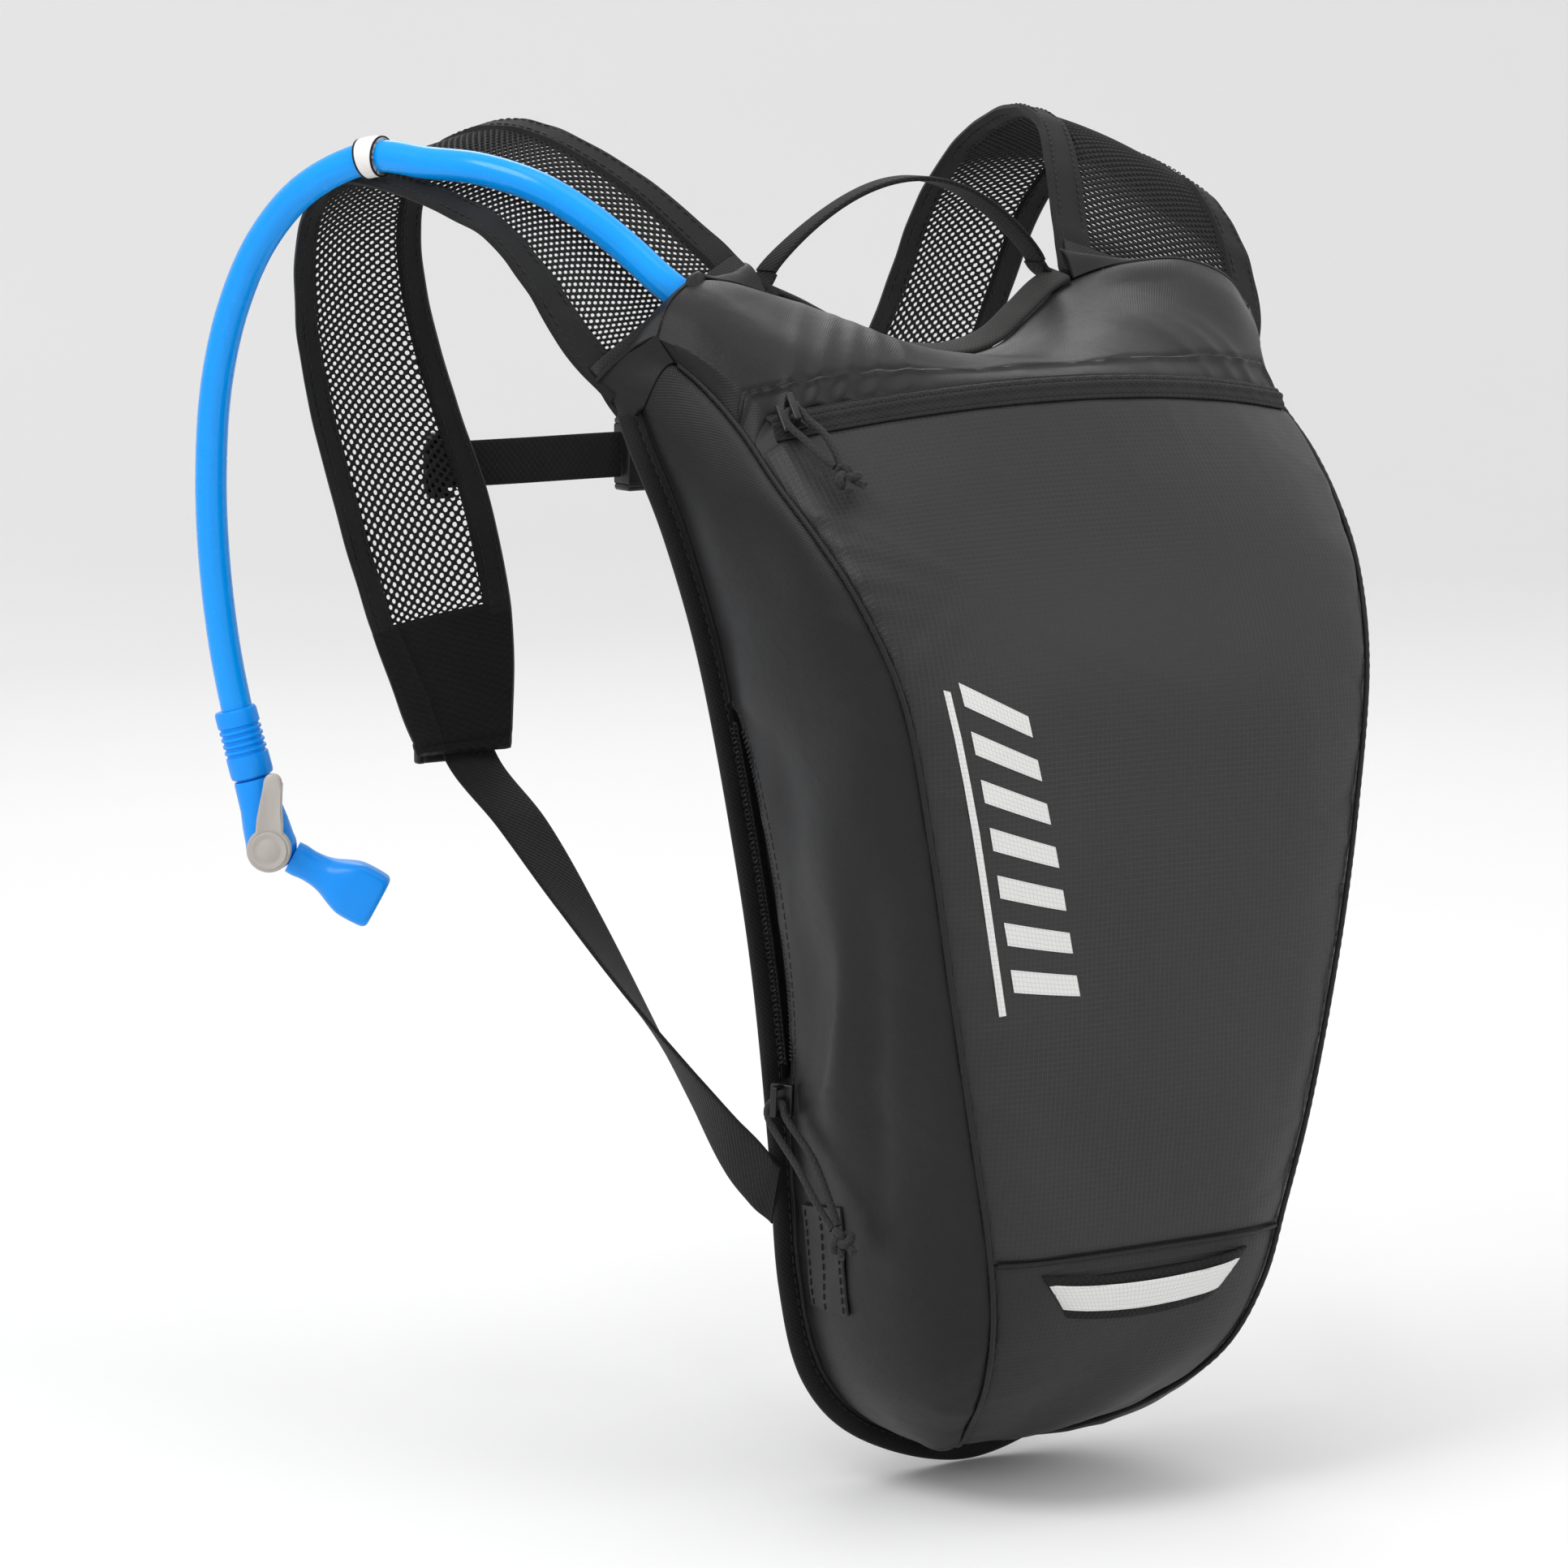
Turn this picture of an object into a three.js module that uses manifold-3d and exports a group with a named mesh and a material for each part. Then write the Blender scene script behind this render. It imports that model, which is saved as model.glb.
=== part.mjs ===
// A small hydration pack: a soft bag with two see-through shoulder straps, a drink tube with a bite
// valve, a water reservoir inside, a zipped front pocket and a zipped pocket on its left side.
//
// Millimetres. +Z is up, -Y is the outer side of the pack, +Y the side of the wearer's back, and +X is
// to the right as seen from the outer side. Shapes are laid out with their height above the lowest
// point of the pack; the frame's origin is the middle of the flat face that rests on the wearer's back.

import * as THREE from 'three';
import { mergeVertices } from 'three/addons/utils/BufferGeometryUtils.js';
import Module from 'manifold-3d';

const wasm = await Module();
wasm.setup();

// ---------------------------------------------------------------- driving dimensions

const MOUNT_HEIGHT = 120; // of the origin above the pack's lowest point
const GAP = 0.4; // between pieces that are sewn or pushed together
const CLOTH = 1.2; // shell fabric
const MESH_CLOTH = 2.4; // spacer mesh of the straps and the back

const BINDING_WIDTH = 6.5; // taped seam that stands out round the back panel
const BINDING_THICK = 3;

const LEAN_FROM = 200; // the back curves towards the shoulders above this height
const LEAN_SPAN = 166;
const LEAN_DEPTH = 30;
const LEAN_POWER = 4.5;

const ZIP_RADIUS = 245; // the front zip runs round a circle in a plane that tips forward
const ZIP_APEX = [0, -50, 339];
const ZIP_TIP = 26.6; // degrees that the circle's axis leans back from upright
const ZIP_HALF_ANGLE = 23.5;
const ZIP_BAND = 5;

const STRAP_BINDING = 0.14; // share of a strap's width that each edge binding takes
const STRAP_TIP_FROM = 0.865; // where the mesh ends and the woven tip begins
const STRAP_STEPS = 22;

const WEBBING = 20; // lower strap webbing
const STERNUM_WEBBING = 15;
const WEBBING_THICK = 1.6;

const TUBE_RADIUS = 5;

// ---------------------------------------------------------------- small helpers

const pack = new THREE.Group();
pack.position.set(0, 0, -MOUNT_HEIGHT);

const vec = (x, y, z) => new THREE.Vector3(x, y, z);
const mix = (a, b, k) => a + (b - a) * k;
const mixed = (a, b, k) => a.clone().lerp(b, k);
const mirrored = (p, side) => vec(side * p.x, p.y, p.z);
const splineOf = (points) => new THREE.CatmullRomCurve3(points.map((p) => vec(...p)));
const radians = THREE.MathUtils.degToRad;

function material(color, roughness, metalness = 0) {
  return new THREE.MeshStandardMaterial({ color, roughness, metalness });
}

const ripstop = material('#3f3f40', 0.7);
const sideCloth = material('#28282a', 0.62);
const meshCloth = material('#2f2f30', 0.85);
const tape = material('#343436', 0.75);
const webbing = material('#1f1f20', 0.8);
const foam = material('#1b1b1c', 0.9);
const lining = material('#3a3c40', 0.8);
const zipCoil = material('#161616', 0.5);
const zipMetal = material('#2c2c2e', 0.4, 0.6);
const cordBlack = material('#2a2b2d', 0.8);
const plastic = material('#151516', 0.5);
const bladder = material('#9fc8dc', 0.25);
const capBlue = material('#1779c4', 0.4);
const hoseBlue = material('#0a94f0', 0.22);
const valveGrey = material('#bdb8b3', 0.35);
const reflective = material('#f2f2f2', 0.35);
const keeperWhite = material('#ececea', 0.3);

function add(name, geometry, look) {
  const mesh = new THREE.Mesh(geometry, look);
  mesh.name = name;
  pack.add(mesh);
  return mesh;
}

function signedVolume(points, triangles) {
  let sum = 0;
  for (const [a, b, c] of triangles) {
    sum += points[a].dot(points[b].clone().cross(points[c]));
  }
  return sum / 6;
}

// A closed body from its corners and triangles, turned so that its faces point outwards.
function body(points, triangles) {
  const outward = signedVolume(points, triangles) > 0;
  const index = triangles.flatMap(([a, b, c]) => (outward ? [a, b, c] : [a, c, b]));
  const geometry = new THREE.BufferGeometry();
  const coordinates = points.flatMap((p) => [p.x, p.y, p.z]);
  geometry.setAttribute('position', new THREE.Float32BufferAttribute(coordinates, 3));
  geometry.setIndex(index);
  return geometry;
}

// The solid between two grids of points, front(i, j) and back(i, j), closed all round its rim.
function between(front, back, columns, rows) {
  const points = [];
  for (const grid of [front, back]) {
    for (let j = 0; j <= rows; j += 1) {
      for (let i = 0; i <= columns; i += 1) {
        points.push(grid(i, j));
      }
    }
  }
  const layer = (columns + 1) * (rows + 1);
  const at = (i, j, k) => k * layer + j * (columns + 1) + i;
  const triangles = [];
  const quad = (a, b, c, d) => triangles.push([a, b, c], [a, c, d]);
  for (let j = 0; j < rows; j += 1) {
    for (let i = 0; i < columns; i += 1) {
      quad(at(i, j, 0), at(i + 1, j, 0), at(i + 1, j + 1, 0), at(i, j + 1, 0));
      quad(at(i, j, 1), at(i, j + 1, 1), at(i + 1, j + 1, 1), at(i + 1, j, 1));
    }
  }
  for (let i = 0; i < columns; i += 1) {
    quad(at(i, 0, 1), at(i + 1, 0, 1), at(i + 1, 0, 0), at(i, 0, 0));
    quad(at(i, rows, 0), at(i + 1, rows, 0), at(i + 1, rows, 1), at(i, rows, 1));
  }
  for (let j = 0; j < rows; j += 1) {
    quad(at(0, j, 0), at(0, j + 1, 0), at(0, j + 1, 1), at(0, j, 1));
    quad(at(columns, j, 1), at(columns, j + 1, 1), at(columns, j + 1, 0), at(columns, j, 0));
  }
  return body(points, triangles);
}

// Unit normal of a surface s(u, v), by small steps that stay inside 0 to 1.
function normalOf(surface, u, v) {
  const step = 0.002;
  const u0 = Math.max(u - step, 0);
  const u1 = Math.min(u + step, 1);
  const v0 = Math.max(v - step, 0);
  const v1 = Math.min(v + step, 1);
  const along = surface(u1, v).sub(surface(u0, v));
  const across = surface(u, v1).sub(surface(u, v0));
  return along.cross(across).normalize();
}

// A sheet that follows surface(u, v), from `low` to `high` along the surface's normal.
function sheet(surface, columns, rows, low, high) {
  const layer = (offset) => (i, j) => {
    const u = i / columns;
    const v = j / rows;
    return surface(u, v).addScaledVector(normalOf(surface, u, v), offset);
  };
  return between(layer(low), layer(high), columns, rows);
}

// A flat band of one width along centre(u), lying along across(u).
function band(centre, across, width, thick, steps, low = -thick / 2) {
  const surface = (u, v) => centre(u).addScaledVector(across(u), width * (v - 0.5));
  return sheet(surface, steps, 1, low, low + thick);
}

function cord(points, radius, sides, steps) {
  const section = new THREE.Shape();
  for (let k = 0; k < sides; k += 1) {
    const angle = (2 * Math.PI * k) / sides;
    const corner = [radius * Math.cos(angle), radius * Math.sin(angle)];
    if (k === 0) {
      section.moveTo(...corner);
    } else {
      section.lineTo(...corner);
    }
  }
  section.closePath();
  const path = new THREE.CatmullRomCurve3(points, false, 'centripetal');
  return new THREE.ExtrudeGeometry(section, { steps, extrudePath: path, curveSegments: 1 });
}

// A turned piece: profile is [radius, distance] pairs along the axis that starts at `from`.
function turned(profile, from, direction, segments = 16) {
  const geometry = new THREE.LatheGeometry(profile.map(([r, d]) => new THREE.Vector2(r, d)), segments);
  const turn = new THREE.Quaternion().setFromUnitVectors(vec(0, 1, 0), direction.clone().normalize());
  geometry.applyQuaternion(turn);
  geometry.translate(from.x, from.y, from.z);
  return geometry;
}

function block(centre, size) {
  const geometry = new THREE.BoxGeometry(...size);
  geometry.translate(...centre);
  return geometry;
}

function solid(geometry) {
  const bare = geometry.clone();
  bare.deleteAttribute('normal');
  bare.deleteAttribute('uv');
  const merged = mergeVertices(bare);
  const mesh = new wasm.Mesh({
    numProp: 3,
    vertProperties: merged.attributes.position.array,
    triVerts: new Uint32Array(merged.index.array),
  });
  return new wasm.Manifold(mesh);
}

function geometryOf(manifold) {
  const mesh = manifold.getMesh();
  const geometry = new THREE.BufferGeometry();
  geometry.setAttribute('position', new THREE.BufferAttribute(mesh.vertProperties, 3));
  geometry.setIndex(new THREE.BufferAttribute(mesh.triVerts, 1));
  return geometry;
}

// ---------------------------------------------------------------- outline and seams of the bag

// A plane curve through [x, height] points of its right half and their mirror images.
function symmetricCurve(half) {
  const left = half.slice(1).reverse().map(([x, h]) => [-x, h]);
  return new THREE.SplineCurve([...left, ...half].map(([x, h]) => new THREE.Vector2(x, h)));
}

// Outer edge of the taped seam round the back, right half, from the bottom up: [x, height].
const edgeLine = symmetricCurve([
  [0, 0], [40, 11], [62.5, 31.5], [72, 63], [76, 108], [82, 160],
  [90, 205], [101, 255], [112.5, 294], [122, 322], [124, 337],
]);

// The seam between a side gusset and the front, right half, from the bottom up: [x, y, height].
const seamLine = splineOf([
  [9, -5, 7.5], [22, -26, 12], [36, -50, 24], [46, -71, 42], [52, -82, 64], [57, -86, 88],
  [64, -88.5, 117], [74.5, -90, 169], [81, -89.5, 208], [88.5, -85, 253], [95, -72, 281],
  [99, -58, 298], [102, -42, 313], [102.5, -24, 328], [106, -8, 341], [112, 3, 350],
]);

const SEAM_LOWER = 0.292; // share of the seam's length up to the lower front panel's top
const SEAM_ZIP = 0.895; // share of the seam's length up to the front zip

function lean(height) {
  return LEAN_DEPTH * (Math.max(height - LEAN_FROM, 0) / LEAN_SPAN) ** LEAN_POWER;
}

// Point on the edge line moved inwards in the plane of the back. s is 0 at the bottom, 1 at the top.
function edgePoint(s, inset, side = 1) {
  const p = edgeLine.getPointAt(0.5 + s / 2);
  const t = edgeLine.getTangentAt(0.5 + s / 2);
  const x = p.x - t.y * inset;
  const height = p.y + t.x * inset;
  return vec(side * x, lean(height), height);
}

// ---------------------------------------------------------------- side gussets

const GUSSET_STEPS = 24;
const GUSSET_BULGE = 13;
const CORNER_REACH = 28;

// Surface of a gusset: s up the seams, v from the taped edge to the front seam.
function gussetSurface(s, v, side) {
  const start = edgePoint(s, BINDING_WIDTH + 2 * GAP);
  start.y -= BINDING_THICK + GAP;
  const end = seamLine.getPointAt(s);
  const depth = start.distanceTo(end);
  const out = edgePoint(s, 0).sub(edgePoint(s, 1)).setY(0).normalize();
  const reach = Math.min(CORNER_REACH, 0.3 * depth);
  const first = start.clone().addScaledVector(out, GUSSET_BULGE * Math.min(depth / 90, 1));
  first.y -= 0.38 * depth;
  const second = end.clone().addScaledVector(out, 0.75 * reach);
  second.y += 0.7 * reach;
  const curve = new THREE.CubicBezierCurve3(start, first, second, end);
  return mirrored(curve.getPoint(v), side);
}

const POCKET_FROM = 0.44; // share of the edge line where the side pocket's mouth starts
const POCKET_TO = 0.745;
const MOUTH_WIDTH = 13.5; // from the taped edge to where the gusset starts again, at mid mouth

// How far along v the left gusset starts: it leaves the pocket's mouth open beside the taped edge.
function gussetStart(s, side) {
  if (side > 0 || s <= POCKET_FROM || s >= POCKET_TO) {
    return 0.012;
  }
  const k = (s - POCKET_FROM) / (POCKET_TO - POCKET_FROM);
  return 0.012 + (MOUTH_WIDTH / 100) * Math.sin(Math.PI * k) ** 0.4;
}

for (const [name, side] of [['left_gusset', -1], ['right_gusset', 1]]) {
  const surface = (u, v) => {
    const s = mix(0.012, 0.995, u);
    return gussetSurface(s, mix(gussetStart(s, side), 0.988, v), side);
  };
  const inner = side > 0 ? [-CLOTH, 0] : [0, CLOTH];
  add(name, sheet(surface, GUSSET_STEPS, 4, ...inner), sideCloth);
}

// ---------------------------------------------------------------- front zip

const zipAxis = vec(0, Math.sin(radians(ZIP_TIP)), Math.cos(radians(ZIP_TIP)));
const zipApex = vec(...ZIP_APEX);
const zipCentre = zipApex.clone().addScaledVector(vec(0, zipAxis.z, -zipAxis.y), ZIP_RADIUS);
const BELOW_ZIP = vec(0, -0.6, -0.8); // down the front panel at the apex
const ABOVE_ZIP = vec(0, 0.95, 0.31); // back over the yoke at the apex

// Point at an angle round the zip's circle, k below the zip (or above it, where k is negative).
function zipPoint(angle, k) {
  const p = zipApex.clone().sub(zipCentre);
  p.addScaledVector(k > 0 ? BELOW_ZIP : ABOVE_ZIP, Math.abs(k));
  return p.applyAxisAngle(zipAxis, radians(angle)).add(zipCentre);
}

const zipAngle = (u, trim = 0) => mix(trim - ZIP_HALF_ANGLE, ZIP_HALF_ANGLE - trim, u);

function zipStrip(from, to, low, high) {
  const surface = (u, v) => zipPoint(zipAngle(u, 0.4), mix(from, to, v));
  return sheet(surface, 16, 1, low, high);
}

add('front_zip_tape_lower', zipStrip(0.5, ZIP_BAND, -0.6, 0.6), tape);
add('front_zip_tape_upper', zipStrip(-0.5, -ZIP_BAND, -0.6, 0.6), tape);

// ---------------------------------------------------------------- front panels and yoke

const FRONT_CROWN = 6;

// Row of the front at height share v between the two seams, u from left to right.
function frontRow(u, s, crown, trim = 0.9) {
  const right = seamLine.getPointAt(s);
  right.x -= trim;
  const p = mixed(mirrored(right, -1), right, u);
  p.y -= crown * (1 - Math.abs(2 * u - 1) ** 5);
  return p;
}

function frontSurface(u, v) {
  const s = mix(SEAM_LOWER + 0.004, SEAM_ZIP, v);
  const p = frontRow(u, s, FRONT_CROWN);
  const chord = frontRow(u, SEAM_ZIP, FRONT_CROWN);
  const zip = zipPoint(zipAngle(u, 0.4), ZIP_BAND + GAP);
  return p.addScaledVector(zip.sub(chord), v ** 3);
}

add('front_panel', sheet(frontSurface, 10, 10, -CLOTH, 0), ripstop);

function lowerFrontSurface(u, v) {
  const s = mix(0.012, SEAM_LOWER - 0.004, v);
  return frontRow(u, s, FRONT_CROWN * v, 0.9);
}

add('lower_front_panel', sheet(lowerFrontSurface, 8, 5, -CLOTH, 0), ripstop);

// Top edge of the yoke, right half, from the middle of the neck outwards: [x, y, height].
const yokeTop = splineOf([
  [-20, 12.5, 346], [0, 9, 343], [20, 12.5, 346], [36, 18, 353.5], [50, 22, 361], [64, 22.5, 366],
  [79, 18.5, 369.5], [95, 12, 370], [108, 6, 364], [114, 3, 354],
]);
const YOKE_MIDDLE = 1 / 9; // the curve's parameter at the middle of the neck
const YOKE_DOME = 3;

function yokeTopPoint(u) {
  const side = u < 0.5 ? -1 : 1;
  return mirrored(yokeTop.getPoint(mix(YOKE_MIDDLE, 1, Math.abs(2 * u - 1))), side);
}

function yokeSurface(u, v) {
  const low = zipPoint(zipAngle(u, 0.4), -ZIP_BAND - GAP);
  const p = mixed(low, yokeTopPoint(u), v);
  p.z += YOKE_DOME * 4 * v * (1 - v);
  return p;
}

add('yoke', sheet(yokeSurface, 18, 3, -CLOTH, 0), sideCloth);

// ---------------------------------------------------------------- back panel and taped edges

// Top edge of the back panel, right half, from the middle of the neck outwards: [x, height].
const backTop = symmetricCurve([
  [0, 341], [20, 343.5], [36, 351], [50, 360], [57, 363], [92, 347], [116.5, 331],
]);
const EDGE_ARC_END = 0.24; // share of the edge line that makes the rounded bottom
const EDGE_TOP = 0.985; // where the taped edge ends under the strap's root
const BACK_CLOTH = 2.5;

// Outline of the back laid flat, shrunk by `inset` at the sides and bottom and by `topInset` at the top.
function backSurface(u, v, inset, topInset) {
  const side = u < 0.5 ? -1 : 1;
  const k = Math.abs(2 * u - 1);
  const bottom = edgePoint(k * EDGE_ARC_END, inset);
  const top = backTop.getPointAt(0.5 + k / 2);
  const corner = edgePoint(EDGE_ARC_END, inset);
  const shoulder = edgePoint(EDGE_TOP, inset);
  const flank = edgePoint(mix(EDGE_ARC_END, EDGE_TOP, v), inset);
  const narrowed = top.x * (shoulder.x / backTop.getPointAt(1).x);
  const x = mix(bottom.x, narrowed, v) + k * (flank.x - mix(corner.x, shoulder.x, v));
  const rise = mix(bottom.z, top.y - topInset, v);
  const height = rise + k * (flank.z - mix(corner.z, shoulder.z, v));
  return vec(side * x, 0, height);
}

// A layer of the back between two depths, both measured forwards from the wearer's side.
function backLayer(inset, topInset, near, far, columns, rows) {
  const grid = (depth) => (i, j) => {
    const p = backSurface(i / columns, j / rows, inset, topInset);
    p.y = lean(p.z) - depth;
    return p;
  };
  return between(grid(near), grid(far), columns, rows);
}

add('back_panel', backLayer(BINDING_WIDTH + 4 * GAP, 0, 0, BACK_CLOTH, 16, 12), meshCloth);
add('back_foam', backLayer(32, 26, BACK_CLOTH + 1.4, 9.4, 8, 8), foam);

const edgeBinding = (u, v) => {
  const side = u < 0.5 ? -1 : 1;
  return edgePoint(Math.abs(2 * u - 1) * EDGE_TOP, mix(BINDING_WIDTH, 0, v), side);
};

function edgeBindingGeometry() {
  const columns = 52;
  const grid = (depth) => (i, j) => {
    const p = edgeBinding(i / columns, j);
    p.y -= depth;
    return p;
  };
  return between(grid(0), grid(BINDING_THICK), columns, 1);
}

add('edge_binding', edgeBindingGeometry(), tape);

// The tape over the neck edge, which holds the yoke and the back panel together.
const NECK_HALF = 0.44; // share of the yoke's half top edge that the neck takes
function neckBinding() {
  const surface = (u, v) => {
    const p = yokeTopPoint(mix(0.5 - NECK_HALF / 2, 0.5 + NECK_HALF / 2, u));
    p.z += 1.6;
    p.y += mix(-3, 9.5, v);
    return p;
  };
  return sheet(surface, 18, 1, 0, 2.2);
}

add('neck_binding', neckBinding(), tape);

// ---------------------------------------------------------------- shoulder straps

// Edges of a strap, right side, from its root on the back to its lower tip: [x, y, height].
const strapInner = splineOf([
  [58, 27.5, 366.5], [66, 41, 380], [78, 60, 397], [91, 82, 410], [97, 102, 414], [100.5, 127, 407.5],
  [101, 145, 395.5], [98, 156, 379], [91.5, 161.5, 355], [79, 165, 323], [67, 166, 294],
  [60, 164.5, 262], [59, 163, 240], [62, 160, 212],
]);
const strapOuter = splineOf([
  [124, 12.5, 335.5], [133, 21.5, 349], [138, 34, 367], [141, 51.5, 382], [144.5, 78, 391],
  [147.5, 108, 396.5], [148, 132, 395], [145.5, 150, 378], [140, 160, 350], [133, 164, 325],
  [123, 165, 291], [112, 164, 256], [103, 162, 231], [95.5, 160, 212],
]);
const STRAP_CROWN = 3;

// Middle surface of a strap: t from root to tip, w from the neck side to the arm side.
function strapPoint(t, w, side) {
  const inner = strapInner.getPoint(t);
  const outer = strapOuter.getPoint(t);
  const ahead = strapInner.getPoint(Math.min(t + 0.01, 1)).sub(strapInner.getPoint(Math.max(t - 0.01, 0)));
  const lift = ahead.cross(outer.clone().sub(inner)).normalize();
  const p = mixed(inner, outer, w).addScaledVector(lift, -STRAP_CROWN * 4 * w * (1 - w));
  return mirrored(p, side);
}

// Outward normal of a strap, away from the wearer.
function strapNormal(t, w, side) {
  const surface = (u, v) => strapPoint(u, v, 1);
  return mirrored(normalOf(surface, t, w).negate(), side);
}

function strapPiece(side, from, to, left, right, thick) {
  const steps = Math.max(2, Math.round(STRAP_STEPS * (to - from)));
  const columns = right - left > 0.5 ? 3 : 1;
  const grid = (offset) => (i, j) => {
    const t = mix(from, to, i / steps);
    const w = mix(left, right, j / columns);
    return strapPoint(t, w, side).addScaledVector(strapNormal(t, w, side), offset);
  };
  return between(grid(-thick / 2), grid(thick / 2), steps, columns);
}

for (const [label, side] of [['left', -1], ['right', 1]]) {
  const edge = STRAP_BINDING;
  const gap = 0.008;
  const end = STRAP_TIP_FROM;
  add(`${label}_strap_mesh`, strapPiece(side, 0, end, edge + gap, 1 - edge - gap, MESH_CLOTH), meshCloth);
  add(`${label}_strap_inner_binding`, strapPiece(side, 0, end, 0, edge, 3.2), tape);
  add(`${label}_strap_outer_binding`, strapPiece(side, 0, end, 1 - edge, 1, 3.2), tape);
  add(`${label}_strap_tip`, strapPiece(side, end + 0.004, 1, 0, 1, 3.2), webbing);
}

// Tape across each strap where it is sewn under the yoke.
const ROOT_TAPE = 7;
for (const [label, side] of [['left', -1], ['right', 1]]) {
  const surface = (u, v) => {
    const t = mix(0.028, 0.028 + ROOT_TAPE / 480, v);
    return strapPoint(t, mix(0.03, 0.97, u), side).addScaledVector(strapNormal(t, 0.5, side), 2.3);
  };
  add(`${label}_root_tape`, sheet(surface, 4, 1, -0.4, 0.4), tape);
}

// ---------------------------------------------------------------- haul loop

const HAUL_HALF_SPAN = 52;
const HAUL_RISE = 27;
const HAUL_WIDTH = 10;
const HAUL_FOOT = vec(0, 33, 370); // height and depth of its two ends

// The loop's middle line: an arch between its two ends by the strap roots.
function haulPoint(u) {
  const rise = Math.sin(Math.PI * u) ** 0.85;
  const x = mix(-HAUL_HALF_SPAN, HAUL_HALF_SPAN, u);
  return vec(x, HAUL_FOOT.y - 4 * rise, HAUL_FOOT.z + HAUL_RISE * rise);
}

const haulLoop = band(haulPoint, () => vec(0, 1, 0), HAUL_WIDTH, WEBBING_THICK, 18);
add('haul_loop', haulLoop, webbing);

// ---------------------------------------------------------------- drink tube

const CONNECTOR = vec(-18, -52, 46); // middle of the plug socket at the foot of the reservoir

// The strap's outer face, lifted off it by `lift`.
function onStrap(t, w, lift, side = -1) {
  return strapPoint(t, w, side).addScaledVector(strapNormal(t, w, side), lift);
}

const TUBE_LIFT = MESH_CLOTH / 2 + TUBE_RADIUS + 0.9;
const tubeEnd = vec(-157.8, 163, 213);
const VALVE_DOWN = vec(0.2, -0.147, -0.969).normalize();

const tubeRoute = [
  vec(-18, -52, 72), vec(-18, -52, 92), vec(-24, -52, 122), vec(-36, -52, 158), vec(-46, -52, 200),
  vec(-50, -51, 244), vec(-53, -48, 278), vec(-60, -39, 305), vec(-71, -23, 327), vec(-83, -4, 344),
  onStrap(0.028, 0.48, TUBE_LIFT + 1.3), onStrap(0.07, 0.5, TUBE_LIFT + 1), onStrap(0.115, 0.52, TUBE_LIFT),
  onStrap(0.16, 0.57, TUBE_LIFT), onStrap(0.21, 0.64, TUBE_LIFT), onStrap(0.265, 0.73, TUBE_LIFT),
  onStrap(0.32, 0.83, TUBE_LIFT), onStrap(0.372, 0.95, TUBE_LIFT + 1.3), vec(-158.5, 124, 395.5),
  vec(-163.8, 142, 379), vec(-167.3, 154.5, 357), vec(-169.2, 162, 332), vec(-169, 166, 303),
  vec(-167.4, 167, 276.5), vec(-164.4, 166.5, 250.4), vec(-160.8, 165, 229.4), tubeEnd,
];

add('drink_tube', cord(tubeRoute, TUBE_RADIUS, 8, 54), hoseBlue);

// The elastic keeper that holds the tube on the strap's arm-side binding.
const KEEPER_LENGTH = 7;
const KEEPER_POINT = 17; // the route's point that the keeper sits on
const tubePath = new THREE.CatmullRomCurve3(tubeRoute, false, 'centripetal');
const keeperMiddle = tubeRoute[KEEPER_POINT];
const keeperAxis = tubePath.getTangent(KEEPER_POINT / (tubeRoute.length - 1));

// A ring round an axis: its profile is a closed loop clear of the axis.
function ring(middle, axis, inner, outer, length) {
  const h = length / 2;
  const profile = [[inner, -h], [outer, -h], [outer, h], [inner, h], [inner, -h]];
  return turned(profile, middle, axis);
}

add('tube_keeper', ring(keeperMiddle, keeperAxis, TUBE_RADIUS + 0.8, TUBE_RADIUS + 1.4, KEEPER_LENGTH), keeperWhite);

// ---------------------------------------------------------------- bite valve

const CUFF_LENGTH = 22;
const cuffMiddle = tubeEnd.clone().addScaledVector(VALVE_DOWN, -CUFF_LENGTH / 2 + 4);
const cuff = ring(cuffMiddle, VALVE_DOWN, TUBE_RADIUS + 0.8, TUBE_RADIUS + 1.8, CUFF_LENGTH);
add('valve_cuff', cuff, hoseBlue);

const HUB_RADIUS = 8;
const BODY_LENGTH = 26.5; // from the tube's end to the middle of the lever
const hub = tubeEnd.clone().addScaledVector(VALVE_DOWN, BODY_LENGTH);
const bodyProfile = [[0, GAP], [4.6, GAP], [4.6, 4.5], [6.2, 4.5], [6.6, 14], [7.4, 19]];
for (let k = 0; k <= 6; k += 1) {
  const angle = radians(mix(-15, 90, k / 6));
  bodyProfile.push([HUB_RADIUS * Math.cos(angle), BODY_LENGTH + HUB_RADIUS * Math.sin(angle)]);
}
bodyProfile[bodyProfile.length - 1][0] = 0;
add('valve_body', turned(bodyProfile, tubeEnd, VALVE_DOWN), hoseBlue);

const BITE_TILT = radians(28.6); // below the horizontal
const ACROSS = vec(Math.cos(radians(36)), -Math.sin(radians(36)), 0); // level, in the valve's plane
const FACING = vec(-Math.sin(radians(36)), -Math.cos(radians(36)), 0); // level, out of the lever's face
const biteAxis = ACROSS.clone().multiplyScalar(Math.cos(BITE_TILT)).add(vec(0, 0, -Math.sin(BITE_TILT)));
const biteProfile = [
  [0, 8.5], [5, 8.5], [5.4, 11], [5.3, 17], [6.2, 21], [8.6, 26], [9.2, 30], [9.2, 36.5], [8.4, 38], [0, 38.3],
];
add('bite_valve', turned(biteProfile, hub, biteAxis), hoseBlue);

const LEVER_THICK = 4;
const LEVER_REACH = 24; // from the lever's pivot to its tip
const LEVER_TILT = radians(-2);

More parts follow.
